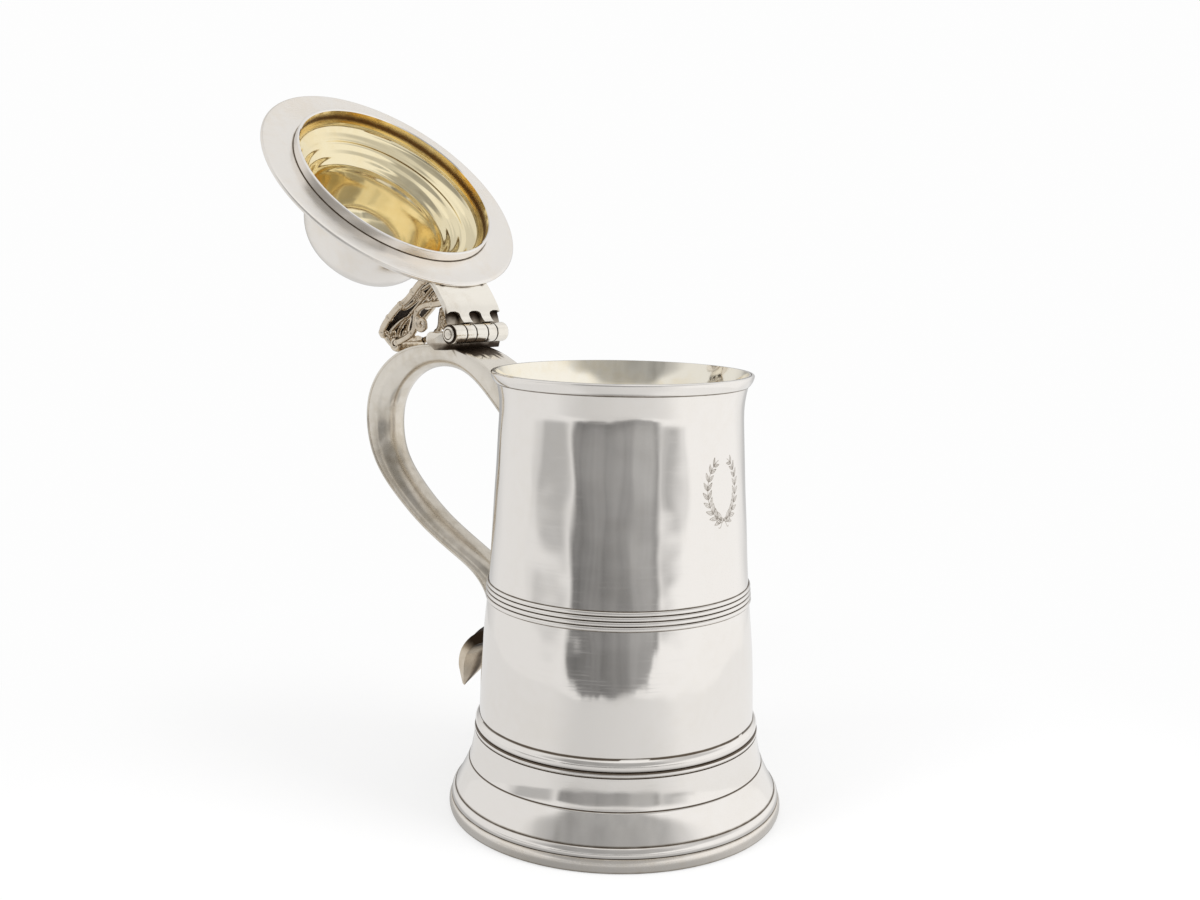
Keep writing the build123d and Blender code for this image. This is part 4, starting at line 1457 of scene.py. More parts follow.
        # tarnish and painted shade on the strap under the hinge
        strap.shade_and_tarnish = self.tarnish_and_shade_under_hinge(strap.points)
        shell = skin(self.sweep(self.shell_section), Finish.WORN)
        # painted shade: the rounded shell darkens towards its lower part
        shell.shade_and_tarnish = 0.31 * np.clip((self.hinge.height - 38.0 - shell.points[:, 2]) / 16.0, 0, 1)
        shop.piece("flat_strap", "handle_strap", strap, Finish.WORN, hollows=True)
        shop.piece("rounded_shell", "handle_shell", shell, Finish.WORN)
        shop.piece("shield_tail", "handle_tail", self.tail_shell(), Finish.AGED, hollows=True)


@dataclass
class HingeWork:
    """The five-tube hinge: cast seat, tubes, pin with turned heads, and the lid's plate."""

    hinge: Hinge
    flange_plane: float
    tube_radius: float = 4.0
    handle_tube: float = 6.3
    lid_tube: float = 5.2
    gap: float = 0.3
    pin_radius: float = 1.7
    play: float = 0.05
    cap_radius: float = 3.1
    cap_thickness: float = 1.3
    seat_reach: float = 14.2
    seat_depth: float = 8.0
    plate_thickness: float = 2.2
    plate_inner: float = 47.5
    finger_root: float = 1.5
    notch_depth: float = 3.4
    notch_arch: float = 1.5
    flange_radius: float = 59.8
    wire_height: float = 1.9

    @property
    def lid_centre(self) -> float:
        """Middle of a lid tube, along the pin."""
        return (self.handle_tube + self.lid_tube) / 2 + self.gap

    @property
    def half_length(self) -> float:
        """Half the length of the five tubes together."""
        return 2 * self.lid_centre + self.handle_tube / 2

    def turned(self, steps: Iterable[tuple[float, float, float]], columns: int = 72) -> Shell:
        """Turn steps (radius, place along the pin, soot) about the pin."""
        outline = Outline()
        for radius, place, shade_and_tarnish in steps:
            outline.run([(radius, place)], Finish.CAST, shade_and_tarnish)
        return revolve(outline, full_turn(columns)).moved(self.hinge.on_pin)

    def tube(self, length: float, middle: float, bore: float) -> Shell:
        """One tube with softened ends, darkened with painted shade."""
        radius, soft = self.tube_radius, 0.3
        # painted shade on the end faces, where the tubes meet
        end = [
            (bore, 0.0, 0.9),
            (radius - soft, 0.0, 0.75),
            (radius - 0.08, 0.1, 0.75),
            (radius, soft, 0.0),
            (radius, 0.8, 0.0),
        ]
        low, high = middle - length / 2, middle + length / 2
        steps = [(reach, low + inset, shade_and_tarnish) for reach, inset, shade_and_tarnish in end] + [(radius, middle, 0.0)]
        steps += [(reach, high - inset, shade_and_tarnish) for reach, inset, shade_and_tarnish in reversed(end)]
        return self.turned(steps)

    def cap(self, side: int) -> Shell:
        """Pin head: a ring, a fine groove and a low button."""
        inner, radius, thick = self.half_length, self.cap_radius, self.cap_thickness
        # tarnish and painted shade in the groove and where the head meets the tube
        steps = [
            (0.0, 0.0, 0.0),
            (radius - 0.15, 0.0, 0.8),
            (radius, 0.2, 0.3),
            (radius, 0.5 * thick, 0.1),
            (radius - 0.25, 0.72 * thick, 0.0),
            (radius * 0.74, 0.78 * thick, 0.1),
            (radius * 0.68, 0.50 * thick, 1.0),
            (radius * 0.62, 0.78 * thick, 0.3),
            (radius * 0.50, 0.97 * thick, 0.0),
            (radius * 0.25, 1.0 * thick, 0.0),
            (0.0, 0.98 * thick, 0.0),
        ]
        return self.turned([(across, side * (inner + out), shade_and_tarnish) for across, out, shade_and_tarnish in steps], 48)

    def seat_shell(self) -> Shell:
        """Cast bed of the hinge with a rounded heel behind the tubes."""
        out, up = self.hinge.out, self.hinge.height
        heel, under = out + self.seat_reach, up - self.seat_depth
        rest = self.tube_radius + 0.06
        outline = [
            (out + rest * math.cos(turn), up + rest * math.sin(turn))
            for turn in np.linspace(math.radians(-78), math.radians(0), 12)
        ]
        outline += arc((out + 4.5, up + 0.5), (out + 8.4, up + 0.1), (heel - 3.4, up + 0.4), 6)
        outline += arc((heel - 3.4, up + 0.4), (heel - 0.1, up - 2.6), (heel - 3.0, up - 5.6), 14)[1:]
        outline += [(heel - 5.0, under + 1.0), (out + 1.6, under + 1.4)]
        bed = slab(outline, self.half_length, Finish.CAST)
        # painted shade under the tubes, and lighter under the heel
        low = np.clip((up - 3.2 - bed.points[:, 2]) / 1.2, 0, 1)
        bed.shade_and_tarnish = low * np.where(bed.points[:, 0] < -out - 4.0, 0.45, 0.95)
        return bed

    def plate_points(self) -> list[Point]:
        """Middle line of the lid's hinge plate, from the lid's shoulder out to the tubes."""
        base, half = self.flange_plane, self.plate_thickness / 2
        return [
            (self.plate_inner, base + 3.6 + half),
            (self.flange_radius - 6.0, base + self.wire_height + 0.5 * half),
            (self.flange_radius + 2.0, base + self.wire_height + half),
            (self.hinge.out - 8.0, self.hinge.height - 5.0),
            (self.hinge.out - 3.2, self.hinge.height - 2.4),
        ]

    def plate_shell(self) -> Shell:
        """Leaf over the flange, with rounded notches at the handle's tubes, darkened inside with painted
        shade.
        """
        rail = Curve(self.plate_points())
        edge = self.half_length - 0.3
        middles = (-2 * self.lid_centre, 0.0, 2 * self.lid_centre)
        across = [-edge, edge]
        for middle in middles:
            for side in (-1, 1):
                wall = middle + side * (self.handle_tube / 2 + self.gap)
                across += [wall - 0.04, wall + 0.04]
            across += list(np.linspace(middle - 3.3, middle + 3.3, 31))
        across = sorted(y for y in set(across) if abs(y) <= edge)
        half = self.plate_thickness / 2
        length = rail.knots[-1]
        shares = np.concatenate([np.linspace(0, 0.6, 16), np.linspace(0.61, 1, 80)])
        points, normal = rail.at(shares), rail.normals(shares)
        left = length * (1 - shares)
        root = np.clip(1 - left / 3.6, 0, 1)
        columns, dark = [], []
        for place in across:
            front = half + self.finger_root * root**2
            shade_and_tarnish = np.zeros(len(shares))
            for middle in middles:
                inside = abs(place - middle) / (self.handle_tube / 2 + self.gap)
                if inside < 1:
                    arched = self.notch_depth + self.notch_arch * math.sqrt(1 - inside**2)
                    notched = left < arched
                    front = np.where(notched, 0.55 - half, half)
                    # painted shade inside each notch, darkest at its inner end
                    shade_and_tarnish = np.where(notched, 0.42 + 0.55 * (left / arched) ** 1.5, 0.0)
            top = side_view(points + half * normal, place)
            bottom = side_view(points - front[:, None] * normal, place)
            columns.append(np.concatenate([top, bottom[::-1]]))
            dark.append(np.concatenate([shade_and_tarnish, shade_and_tarnish[::-1]]))
        plate = skin(np.array(columns), Finish.CAST)
        plate.shade_and_tarnish = np.concatenate(dark)
        return plate

    def build(self, shop: Workshop) -> None:
        """Make every piece of the hinge."""
        shop.piece("hinge_bed", "hinge_seat", self.seat_shell(), Finish.CAST, bevel=0.7)
        for name, middle in (("near", -2 * self.lid_centre), ("middle", 0.0), ("far", 2 * self.lid_centre)):
            tube = self.tube(self.handle_tube, middle, self.pin_radius)
            shop.piece(f"fixed_tube_{name}", f"handle_knuckle_{name}", tube, Finish.CAST)
        for name, side in (("near", -1), ("far", 1)):
            bore = self.pin_radius + self.play
            tube = self.tube(self.lid_tube, side * self.lid_centre, bore)
            shop.piece(f"lid_tube_{name}", f"lid_knuckle_{name}", tube, Finish.CAST, is_lid=True)
            shop.piece(f"pin_head_{name}", f"pin_cap_{name}", self.cap(side), Finish.CAST)
        half, radius = self.half_length, self.pin_radius
        pin = [(0.0, -half, 0.0), (radius, -half, 0.0), (radius, half, 0.0), (0.0, half, 0.0)]
        shop.piece("steel_pin", "hinge_pin", self.turned(pin, 32), Finish.CAST)
        shop.piece("lid_leaf", "hinge_plate", self.plate_shell(), Finish.CAST, is_lid=True)


@dataclass
class Lid:
    """The domed lid in one sheet, with its edge wire and the ring that drops into the rim.

    The dome's profile runs from its crown to the shoulder, and the lining's from its throat to its
    crown. Both are shares of the radius (out) and of the height (up).
    """

    DOME_OUT = (0.0, 0.20, 0.36, 0.54, 0.68, 0.80, 0.87, 0.95, 1.0)
    DOME_UP = (1.0, 0.988, 0.955, 0.89, 0.795, 0.64, 0.49, 0.25, 0.0)
    LINING_OUT = (1.0, 0.985, 0.93, 0.85, 0.78, 0.71, 0.665, 0.635, 0.60, 0.555, 0.48, 0.35, 0.18, 0.0)
    LINING_UP = (0.05, 0.105, 0.155, 0.195, 0.245, 0.31, 0.40, 0.50, 0.64, 0.745, 0.84, 0.925, 0.982, 1.0)

    plane: float
    flange_radius: float = 59.8
    flange_thickness: float = 1.3
    wire_width: float = 1.4
    wire_height: float = 1.9
    wall: float = 0.85
    shoulder_foot: float = 49.6
    shoulder_radius: float = 46.2
    shoulder_height: float = 6.0
    steps: int = 4
    dome_radius: float = 33.0
    dome_foot: float = 13.0
    dome_height: float = 44.5
    ring_radius: float = 46.0
    ring_wall: float = 1.3
    ring_depth: float = 4.2
    ridge_depth: float = 0.17
    ridge_pitch: float = 0.068
    crown_darkening: float = 0.26

    def dome(self) -> list[Point]:
        """Dome from its crown down to the shoulder."""
        rise = self.dome_height - self.dome_foot
        base, radius = self.plane, self.dome_radius
        shares = zip(self.DOME_OUT, self.DOME_UP)
        flat = [(radius * out, base + self.dome_foot + rise * up) for out, up in shares]
        mirrored = [(-r, h) for r, h in reversed(flat[1:])]
        curve = Curve(mirrored + flat)
        points = curve.at(np.linspace(0.5, 1.0, 60))
        points[0, 0] = 0.0
        return [tuple(point) for point in points]

    def shoulder(self) -> list[Point]:
        """Soft steps from the dome out to the flange."""
        run = self.shoulder_radius - self.dome_radius
        fall = self.dome_foot - self.shoulder_height
        points = []
        for share in np.linspace(0, 1, self.steps * 14 + 1)[1:]:
            place = share * self.steps
            step = min(int(place), self.steps - 1)
            part = place - step
            drop = np.clip((part - 0.45) / 0.55, 0, 1)
            eased = drop * drop * (3 - 2 * drop)
            height = self.dome_foot - fall * (step + 0.25 * part * (1 - eased) + eased) / self.steps
            points.append((self.dome_radius + share * run, self.plane + height))
        return points

    def lining(self) -> list[Point]:
        """Smooth inside of the cover, from the ring's throat to the crown, with soft ridges."""
        throat, crown = self.ring_radius - self.ring_wall, self.dome_height - self.wall
        shares = zip(self.LINING_OUT, self.LINING_UP)
        curve = Curve([(throat * out, self.plane + crown * up) for out, up in shares])
        along = np.linspace(0, 1, 150)
        points = curve.at(along)
        ridged = np.clip((along - 0.07) / 0.05, 0, 1) * np.clip((0.34 - along) / 0.05, 0, 1)
        wave = self.ridge_depth * ridged * np.sin(2 * math.pi * along / self.ridge_pitch)
        points += wave[:, None] * curve.normals(along)
        points[-1, 0] = 0.0
        return [tuple(point) for point in points]

    def lining_darkening(self, radius: float, height: float) -> float:
        """Darkening inside the cover, in the crown only."""
        return self.crown_darkening * min(1.0, max(0.0, (24.0 - radius) / 9.0))

    def cover_shell(self) -> Shell:
        """Dome, stepped shoulder and flat flange, gilt inside."""
        base, thick = self.plane, self.flange_thickness
        edge = self.flange_radius - self.wire_width
        foot = (self.shoulder_foot, base + 1.9 * thick)
        crest = (self.shoulder_radius + 0.3, base + self.shoulder_height - 1.2)
        outside = self.dome() + self.shoulder()
        outside += arc(crest, (self.shoulder_radius + 1.3, base + 3.4), foot, 6)
        for share in np.linspace(0.1, 1, 10):
            radius = self.shoulder_foot + share * (edge - self.shoulder_foot)
            outside.append((radius, base + thick * (1.9 - 0.9 * share)))
        outside.append((edge, base + 0.02))
        for share in np.linspace(0.05, 1, 16):
            radius = edge + share * (self.ring_radius + 0.1 - edge)
            outside.append((radius, base + 0.28 * math.sin(math.pi * share)))
        outline = Outline().run(outside, Finish.SATIN)
        outline.run([(self.ring_radius - self.ring_wall, base)], Finish.GILT)
        outline.run(self.lining(), Finish.GILT, self.lining_darkening)
        return revolve(outline, full_turn(LID_COLUMNS))

    def wire_shell(self) -> Shell:
        """Wire round the flange's edge."""
        radius, low = self.flange_radius, self.plane
        high = low + self.wire_height
        inner = radius - self.wire_width
        face = arc((radius - 0.8, low + 0.02), (radius - 0.02, (low + high) / 2), (radius - 0.8, high), 14)
        outline = Outline().run([(inner, low + 0.02)], Finish.SATIN).run(face, Finish.SATIN)
        # tarnish and painted shade where the wire meets the flange
        outline.run([(inner + 0.25, high - 0.05)], shade_and_tarnish=0.2).run([(inner, high - 0.5)], shade_and_tarnish=1.0)
        return revolve(outline, full_turn(TURNED_COLUMNS))

    def ring_shell(self) -> Shell:
        """Ring under the flange, gilt inside."""
        inner, outer = self.ring_radius - self.ring_wall, self.ring_radius
        low, base = self.plane - self.ring_depth, self.plane
        # tarnish and painted shade under the flange
        outline = Outline().run([(outer, base)], shade_and_tarnish=1.0)
        outline.run([(outer, base - 0.25)], shade_and_tarnish=0.6)
        outline.run([(outer, base - 0.7), (outer, low + 0.5)])
        outline.run(arc((outer, low + 0.5), (outer - 0.12, low + 0.1), (outer - 0.5, low), 5)[1:])
        outline.run([(inner + 0.4, low)], Finish.POLISHED)
        outline.run([(inner, low + 0.35), (inner, base)], Finish.GILT)
        return revolve(outline, full_turn(LID_COLUMNS))

    def build(self, shop: Workshop) -> None:
        """Make every piece of the lid's body."""
        shop.piece("domed_lid", "lid_cover", self.cover_shell(), Finish.GILT, is_lid=True)
        shop.piece("flange_wire", "lid_edge_wire", self.wire_shell(), Finish.POLISHED, is_lid=True)
        shop.piece("lid_ring", "bezel_ring", self.ring_shell(), Finish.GILT, is_lid=True)


class StrandTree(GrowingTree):
    """Geometry Nodes that sweep curves into cast strands and set small knops along them."""

    NAME = "cast_strands"
    INPUTS = {"Thickness": "Float", "Knop Spacing": "Float", "Knop Size": "Float"}

    def shape(self, graph: Graph, given: Node) -> Node:
        """Swept strands with a knop at every spacing.

        Args:
            graph: the tree.
            given: the node that holds the tree's inputs.

        Returns:
            The node that joins the strands and their knops.
        """
        strands = graph.link(given, "Geometry")
        round_section = {"Resolution": 12, "Radius": graph.link(given, "Thickness")}
        section = graph.node("GeometryNodeCurvePrimitiveCircle", round_section)
        thickness = graph.node("GeometryNodeInputRadius")
        sweep = {"Curve": strands, "Profile Curve": section, "Fill Caps": True, "Scale": thickness}
        swept = graph.node("GeometryNodeCurveToMesh", sweep)
        rows = {"Curve": strands, "Length": graph.link(given, "Knop Spacing")}
        spots = graph.node("GeometryNodeCurveToPoints", rows, mode="LENGTH")
        ball = {"Radius": graph.link(given, "Knop Size"), "Subdivisions": 3}
        knop = graph.node("GeometryNodeMeshIcoSphere", ball)
        copies = {"Points": spots, "Instance": knop, "Scale": thickness}
        knops = graph.node("GeometryNodeInstanceOnPoints", copies)
        both = graph.node("GeometryNodeJoinGeometry")
        graph.feed(both.inputs[0], swept)
        graph.feed(both.inputs[0], knops)
        return both


def strand_curve(name: str, strands: Sequence[Strand]) -> ID:
    """Curve data of strands, whose points are in millimetres with a relative thickness each."""
    curve = bpy.data.curves.new(name, "CURVE")
    curve.dimensions = "3D"
    for points, thickness in strands:
        spline = curve.splines.new("POLY")
        spline.points.add(len(points) - 1)
        for spot, place, size in zip(spline.points, points * MM, thickness):
            spot.co = (*place, 1.0)
            spot.radius = float(size)
    return curve


def tapered(line: np.ndarray, shares: Sequence[float], sizes: Sequence[float]) -> Strand:
    """Strand whose relative thickness takes the sizes at shares of its length."""
    return line, np.interp(np.linspace(0, 1, len(line)), shares, sizes)


@dataclass
class Thumbpiece:
    """The pierced, scrolled thumbpiece, cast in openwork."""

    hinge: Hinge
    plane: float
    foot: float = 48.0
    height: float = 42.0
    half_width: float = 11.0
    roll_radius: float = 3.9
    roll_half: float = 7.6
    scroll_offset: float = 7.4
    strand: float = 1.25
    knop_size: float = 1.5
    knop_spacing: float = 8.5
    web: float = 0.9

    @property
    def roll_centre(self) -> Point:
        """Centre of the rolled tip in the shut lid's side view."""
        return self.foot + 3.5, self.plane + self.height + 1.4

    def rail(self) -> Curve:
        """Middle line of the leaf, in the shut lid's side view."""
        out, up, tall = self.foot, self.plane, self.height
        return Curve(
            [
                (out + 3.0, up + 2.6),
                (out - 0.6, up + 10.0),
                (out - 2.6, up + 0.50 * tall),
                (out - 4.0, up + 0.80 * tall),
                (out - 2.4, up + tall + 4.0),
                (out + 2.0, up + tall + 4.6),
            ]
        )

    def lay(self, points: Sequence[Point], bulge: float = 0.0) -> np.ndarray:
        """Carry leaf points (across, share of the height) onto the leaf, smoothly joined."""
        flat = Curve(points).at(np.linspace(0, 1, 12 * len(points)))
        rail, shares = self.rail(), np.clip(flat[:, 1], 0, 1)
        return side_view(rail.at(shares) + bulge * rail.normals(shares), flat[:, 0])

    def edge(self, share: float) -> float:
        """Share of the half width that the leaf's waved edge reaches, by share of its height."""
        rise = (0.0, 0.12, 0.28, 0.42, 0.58, 0.74, 0.88, 1.0)
        wide = (0.62, 0.84, 0.76, 0.70, 0.94, 0.90, 0.66, 0.46)
        return float(np.interp(share, rise, wide))

    def volute(self, side: int, across: float, share: float, size: float, turn: int) -> Strand:
        """Small scroll on the leaf.

        Args:
            side: -1 or 1.
            across: its middle, as a share of the half width.
            share: its middle, as a share of the height.
            size: its outer radius.
            turn: which way it winds.

        Returns:
            The strand, laid on the leaf.
        """
        spin = np.linspace(0, 2.6 * math.pi, 16)
        radius = size * (1 - 0.68 * spin / spin[-1])
        heading = turn * (spin + 0.5 * math.pi)
        middle = across * self.half_width
        flat = [
            (side * (middle + r * math.cos(a)), share + r * math.sin(a) / self.height)
            for r, a in zip(radius, heading)
        ]
        line = self.lay(flat, -0.5)
        return line, np.linspace(0.85, 0.55, len(line))

    def leaf_strands(self) -> list[Strand]:
        """Strands of the leaf: two waved stems, a rib, crossing leaflets and volutes."""
        wide = self.half_width
        strands = []
        for side in (-1, 1):
            stem = self.lay([(side * self.edge(share) * wide, share) for share in np.linspace(0, 1, 9)])
            strands.append(tapered(stem, (0, 0.6, 1), (1.35, 1.15, 0.95)))
            for low, high in ((0.10, 0.28), (0.40, 0.55), (0.68, 0.84)):
                reach = self.edge(high) * 0.92
                bend = (0.30 * reach, low + 0.2 * (high - low))
                swing = ((0.06, low), bend, (0.62 * reach, high - 0.01), (reach, high))
                leaflet = self.lay([(side * across * wide, share) for across, share in swing])
                strands.append(tapered(leaflet, (0, 0.5, 1), (0.8, 1.2, 0.7)))
            strands.append(self.volute(side, 0.46, 0.36, 2.3, 1))
            strands.append(self.volute(side, 0.42, 0.90, 2.5, -1))
        rib = self.lay([(0.0, share) for share in (0.0, 0.25, 0.5, 0.75, 1.0)])
        strands.append((rib, np.linspace(1.3, 0.9, len(rib))))
        return strands

    def web_shell(self) -> Shell:
        """Sunk sheet inside the leaf's waved edge, darkened all over as painted shade in the pockets of the
        openwork.
        """
        rail = self.rail()
        shares = np.linspace(0.02, 0.97, 60)
        rings = []
        for share, middle, normal in zip(shares, rail.at(shares), rail.normals(shares)):
            half = self.half_width * (self.edge(share) - 0.10 - 0.05 * math.sin(30 * share))
            across = np.linspace(-half, half, 9)
            front = side_view(np.repeat([middle + 0.5 * self.web * normal], 9, axis=0), across)
            back = side_view(np.repeat([middle - 0.5 * self.web * normal], 9, axis=0), across[::-1])
            rings.append(np.concatenate([front, back]))
        web = skin(np.array(rings), Finish.AGED)
        # painted shade: the whole sheet is dark, for the shaded pockets between the strands
        web.shade_and_tarnish = np.full(len(web.points), 1.0)
        return web

    def scroll_strands(self, side: int) -> list[Strand]:
        """Bracing scroll on one side, behind the leaf."""
        out, up, tall = self.foot, self.plane, self.height
        roll_out, roll_up = self.roll_centre
        stem = Curve(
            [
                (out + 13.2, up + 5.2),
                (out + 12.4, up + 0.22 * tall),
                (out + 7.2, up + 0.381 * tall),
                (out + 4.4, up + 0.571 * tall),
                (out + 7.8, up + 0.70 * tall),
                (roll_out + 3.0, roll_up - 6.0),
                (roll_out + 0.8, roll_up - 1.6),
            ]
        ).at(np.linspace(0, 1, 60))
        spin = np.linspace(0, 2.6 * math.pi, 40)
        radius = 3.0 * (1 - 0.6 * spin / spin[-1])
        heading = math.pi - spin
        curl_out = out + 9.6 + radius * np.cos(heading)
        curl_up = up + 0.595 * tall + radius * np.sin(heading)
        curl = np.stack([curl_out, curl_up], axis=1)
        across = side * self.scroll_offset
        return [
            tapered(side_view(stem, across), (0, 0.4, 1), (1.35, 1.0, 1.1)),
            (side_view(curl, across), np.linspace(1.05, 0.7, len(curl))),
        ]

    def roll_shell(self) -> Shell:
        """Rolled tip: a band wound a little over one and a half times."""
        centre_out, centre_up = self.roll_centre
        thick = 1.25
        spin = np.linspace(0, 3.4 * math.pi, 76)
        radius = (self.roll_radius - thick / 2) * (1 - 0.62 * spin / spin[-1])
        start = math.radians(100)
        ring_outer, ring_inner = [], []
        for turn, size in zip(spin, radius):
            heading = start - turn
            taper = thick / 2 * (0.75 + 0.25 * math.cos(turn / spin[-1] * math.pi))
            for ring, reach in ((ring_outer, size + taper), (ring_inner, size - taper)):
                ring.append((centre_out + reach * math.cos(heading), centre_up + reach * math.sin(heading)))
        section = np.array(ring_outer + ring_inner[::-1])
        middle = np.array([centre_out, centre_up])
        rings = []
        for share in np.linspace(-1, 1, 21):
            swell = 0.80 + 0.20 * math.sqrt(max(0.0, 1 - share**4)) + 0.03 * math.cos(5 * math.pi * share)
            ring = middle + (section - middle) * min(swell, 1.0)
            rings.append(side_view(ring, share * self.roll_half))
        return skin(np.array(rings), Finish.AGED)

    def build(self, shop: Workshop, tree: StrandTree) -> None:
        """Make every piece of the thumbpiece."""
        sizes = {
            "Thickness": self.strand * MM,
            "Knop Spacing": self.knop_spacing * MM,
            "Knop Size": self.knop_size * MM,
            "Material": shop.materials[Finish.AGED],
        }
        groups = [("openwork_leaf", "thumb_leaf", self.leaf_strands())]
        for name, side in (("near", -1), ("far", 1)):
            groups.append((f"bracing_scroll_{name}", f"thumb_scroll_{name}", self.scroll_strands(side)))
        for name, node, strands in groups:
            opened = [(shop.hinge.opened(points), thickness) for points, thickness in strands]
            grown = tree.run(name, strand_curve(name, opened), sizes)
            if node == "thumb_leaf":
                shop.add_shell(grown, self.web_shell().moved(shop.hinge.opened))
            shop.close(grown.data)
            shop.smoothed(grown.data, 70.0)
            add_shade_and_tarnish_in_hollows(grown.data, 0.02, 0.26, 0.12)
            shop.hand_over(grown, node, Finish.AGED, True)
        shop.piece("rolled_tip", "thumb_roll", self.roll_shell(), Finish.AGED, is_lid=True, hollows=True)


@dataclass
class Studio:
    """White floor and backdrop, soft lamps and the dim room that the silver mirrors."""

    WHITE = 0.985

    camera_angle: float
    foot_radius: float
    floor_radius: float = 330.0
    lamp_size: float = 420.0
    lamp_distance: float = 620.0
    lamp_target: float = 120.0
    lamp_power: float = 2.2

    def world(self) -> None:
        """White all round, with darker zones that only reflections see."""
        world = bpy.data.worlds.new("studio")
        graph = blank_graph(world)
        heading = graph.link(graph.node("ShaderNodeTexCoord"), "Generated")
        towards, aside = self.from_view(graph, heading)
        up = self.dot(graph, heading, (0.0, 0.0, 1.0))
        round_view = graph.math("ARCTAN2", aside, towards) * math.degrees(1.0)
        rise = graph.math("ARCSINE", up) * math.degrees(1.0)
        level = self.mirrored_level(graph, heading, round_view, rise)

        path = graph.node("ShaderNodeLightPath")
        mirrored, straight = graph.link(path, "Is Glossy Ray"), graph.link(path, "Is Camera Ray")
        seen = graph.math("MAXIMUM", straight, graph.link(path, "Is Transmission Ray"))
        other = 1 - graph.math("MAXIMUM", mirrored, seen)
        strength = mirrored * level + seen * self.WHITE + other * 0.80
        background = graph.node("ShaderNodeBackground", {"Color": (1, 1, 1, 1), "Strength": strength})
        graph.node("ShaderNodeOutputWorld", {"Surface": background})
        bpy.context.scene.world = world

    def mirrored_level(self, graph: Graph, heading: Link, round_view: Link, rise: Link) -> Link:
        """Brightness of the room in the silver, by direction.

        Args:
            graph: the world's tree.
            heading: the direction.
            round_view: degrees round from the camera, positive on its right.
            rise: degrees above the horizon.

        Returns:
            The brightness.
        """
        soft = graph.noise(heading, 3.2, 1.0)
        streak_place = graph.node("ShaderNodeMapping", {"Vector": heading, "Scale": (9.0, 9.0, 0.5)})
        streak = graph.noise(streak_place, 0.9, 2.0)
        edge = round_view + 14.0 * (soft - 0.5)
        aside = graph.math("ABSOLUTE", round_view)
        sides = graph.ramp(round_view, -70.0, 70.0, 0.78, 0.93)
        level = sides - graph.ramp(aside, 125.0, 150.0, 0.0, 0.12)

        opening = graph.ramp(rise, 11.0, 24.0, 0.52, 1.0)
        ceiling = self.zone(graph, (edge + 3.0) / opening, (-53.0, 53.0, 34.0), rise, (8.0, 58.0, 9.0))
        level = level - ceiling * (0.47 + 0.20 * (streak - 0.5))
        ground = graph.ramp(rise, -13.5, -11.0, 1.0, 0.0)
        level = level - ground * graph.window(round_view, -52.0, 44.0, 36.0) * 0.17

        jamb = round_view + 6.0 * (soft - 0.5)
        dip = (jamb + 3.0) / 37.0
        dip = dip * dip
        top = graph.ramp(rise + 1.7 * dip + 0.8 * (soft - 0.5), 4.8, 6.0, 1.0, 0.0)
        foot = graph.ramp(rise - 2.4 * dip - 2.8 * (streak - 0.5), -12.6, -11.3)
        room = graph.window(jamb, -42.0, 34.0, 6.0) * top * foot
        deep = graph.ramp(rise, -11.0, -1.0, 0.66, 0.53) + 0.22 * (streak - 0.5)
        deep = deep - graph.ramp(round_view, 7.0, 17.0, 0.0, 0.09)
        level = level - room * deep
        for turn, across, upright, depth in (
            (edge, (-83.0, -47.0, 13.0), (-7.6, 4.2, 3.6), 0.32),
            (edge, (34.0, 51.0, 16.0), (-7.0, 4.2, 3.6), 0.40),
            (edge, (46.0, 63.0, 8.0), (-6.2, -2.6, 2.4), 0.18),
            (round_view, (56.0, 104.0, 30.0), (28.0, 64.0, 16.0), 0.34),
            (aside, (150.0, 210.0, 16.0), (-12.0, 9.0, 8.0), 0.24),
        ):
            level = level - self.zone(graph, turn, across, rise, upright) * depth
        return level

    @staticmethod
    def zone(graph: Graph, turn: Link, across: Band, rise: Link, upright: Band) -> Link:
        """One inside a rectangle of directions and nought outside; a band is (low, high, soft)."""
        return graph.window(turn, *across) * graph.window(rise, *upright)

    @staticmethod
    def dot(graph: Graph, first: Link, second: Colour) -> Link:
        """Dot product with a fixed vector."""
        made = graph.node("ShaderNodeVectorMath", {0: first, 1: second}, operation="DOT_PRODUCT")
        return graph.link(made, "Value")

    def from_view(self, graph: Graph, place: Link) -> tuple[Link, Link]:
        """How far a place lies towards the camera, and how far to its right."""
        cosine, sine = math.cos(self.camera_angle), math.sin(self.camera_angle)
        return self.dot(graph, place, (cosine, sine, 0.0)), self.dot(graph, place, (-sine, cosine, 0.0))

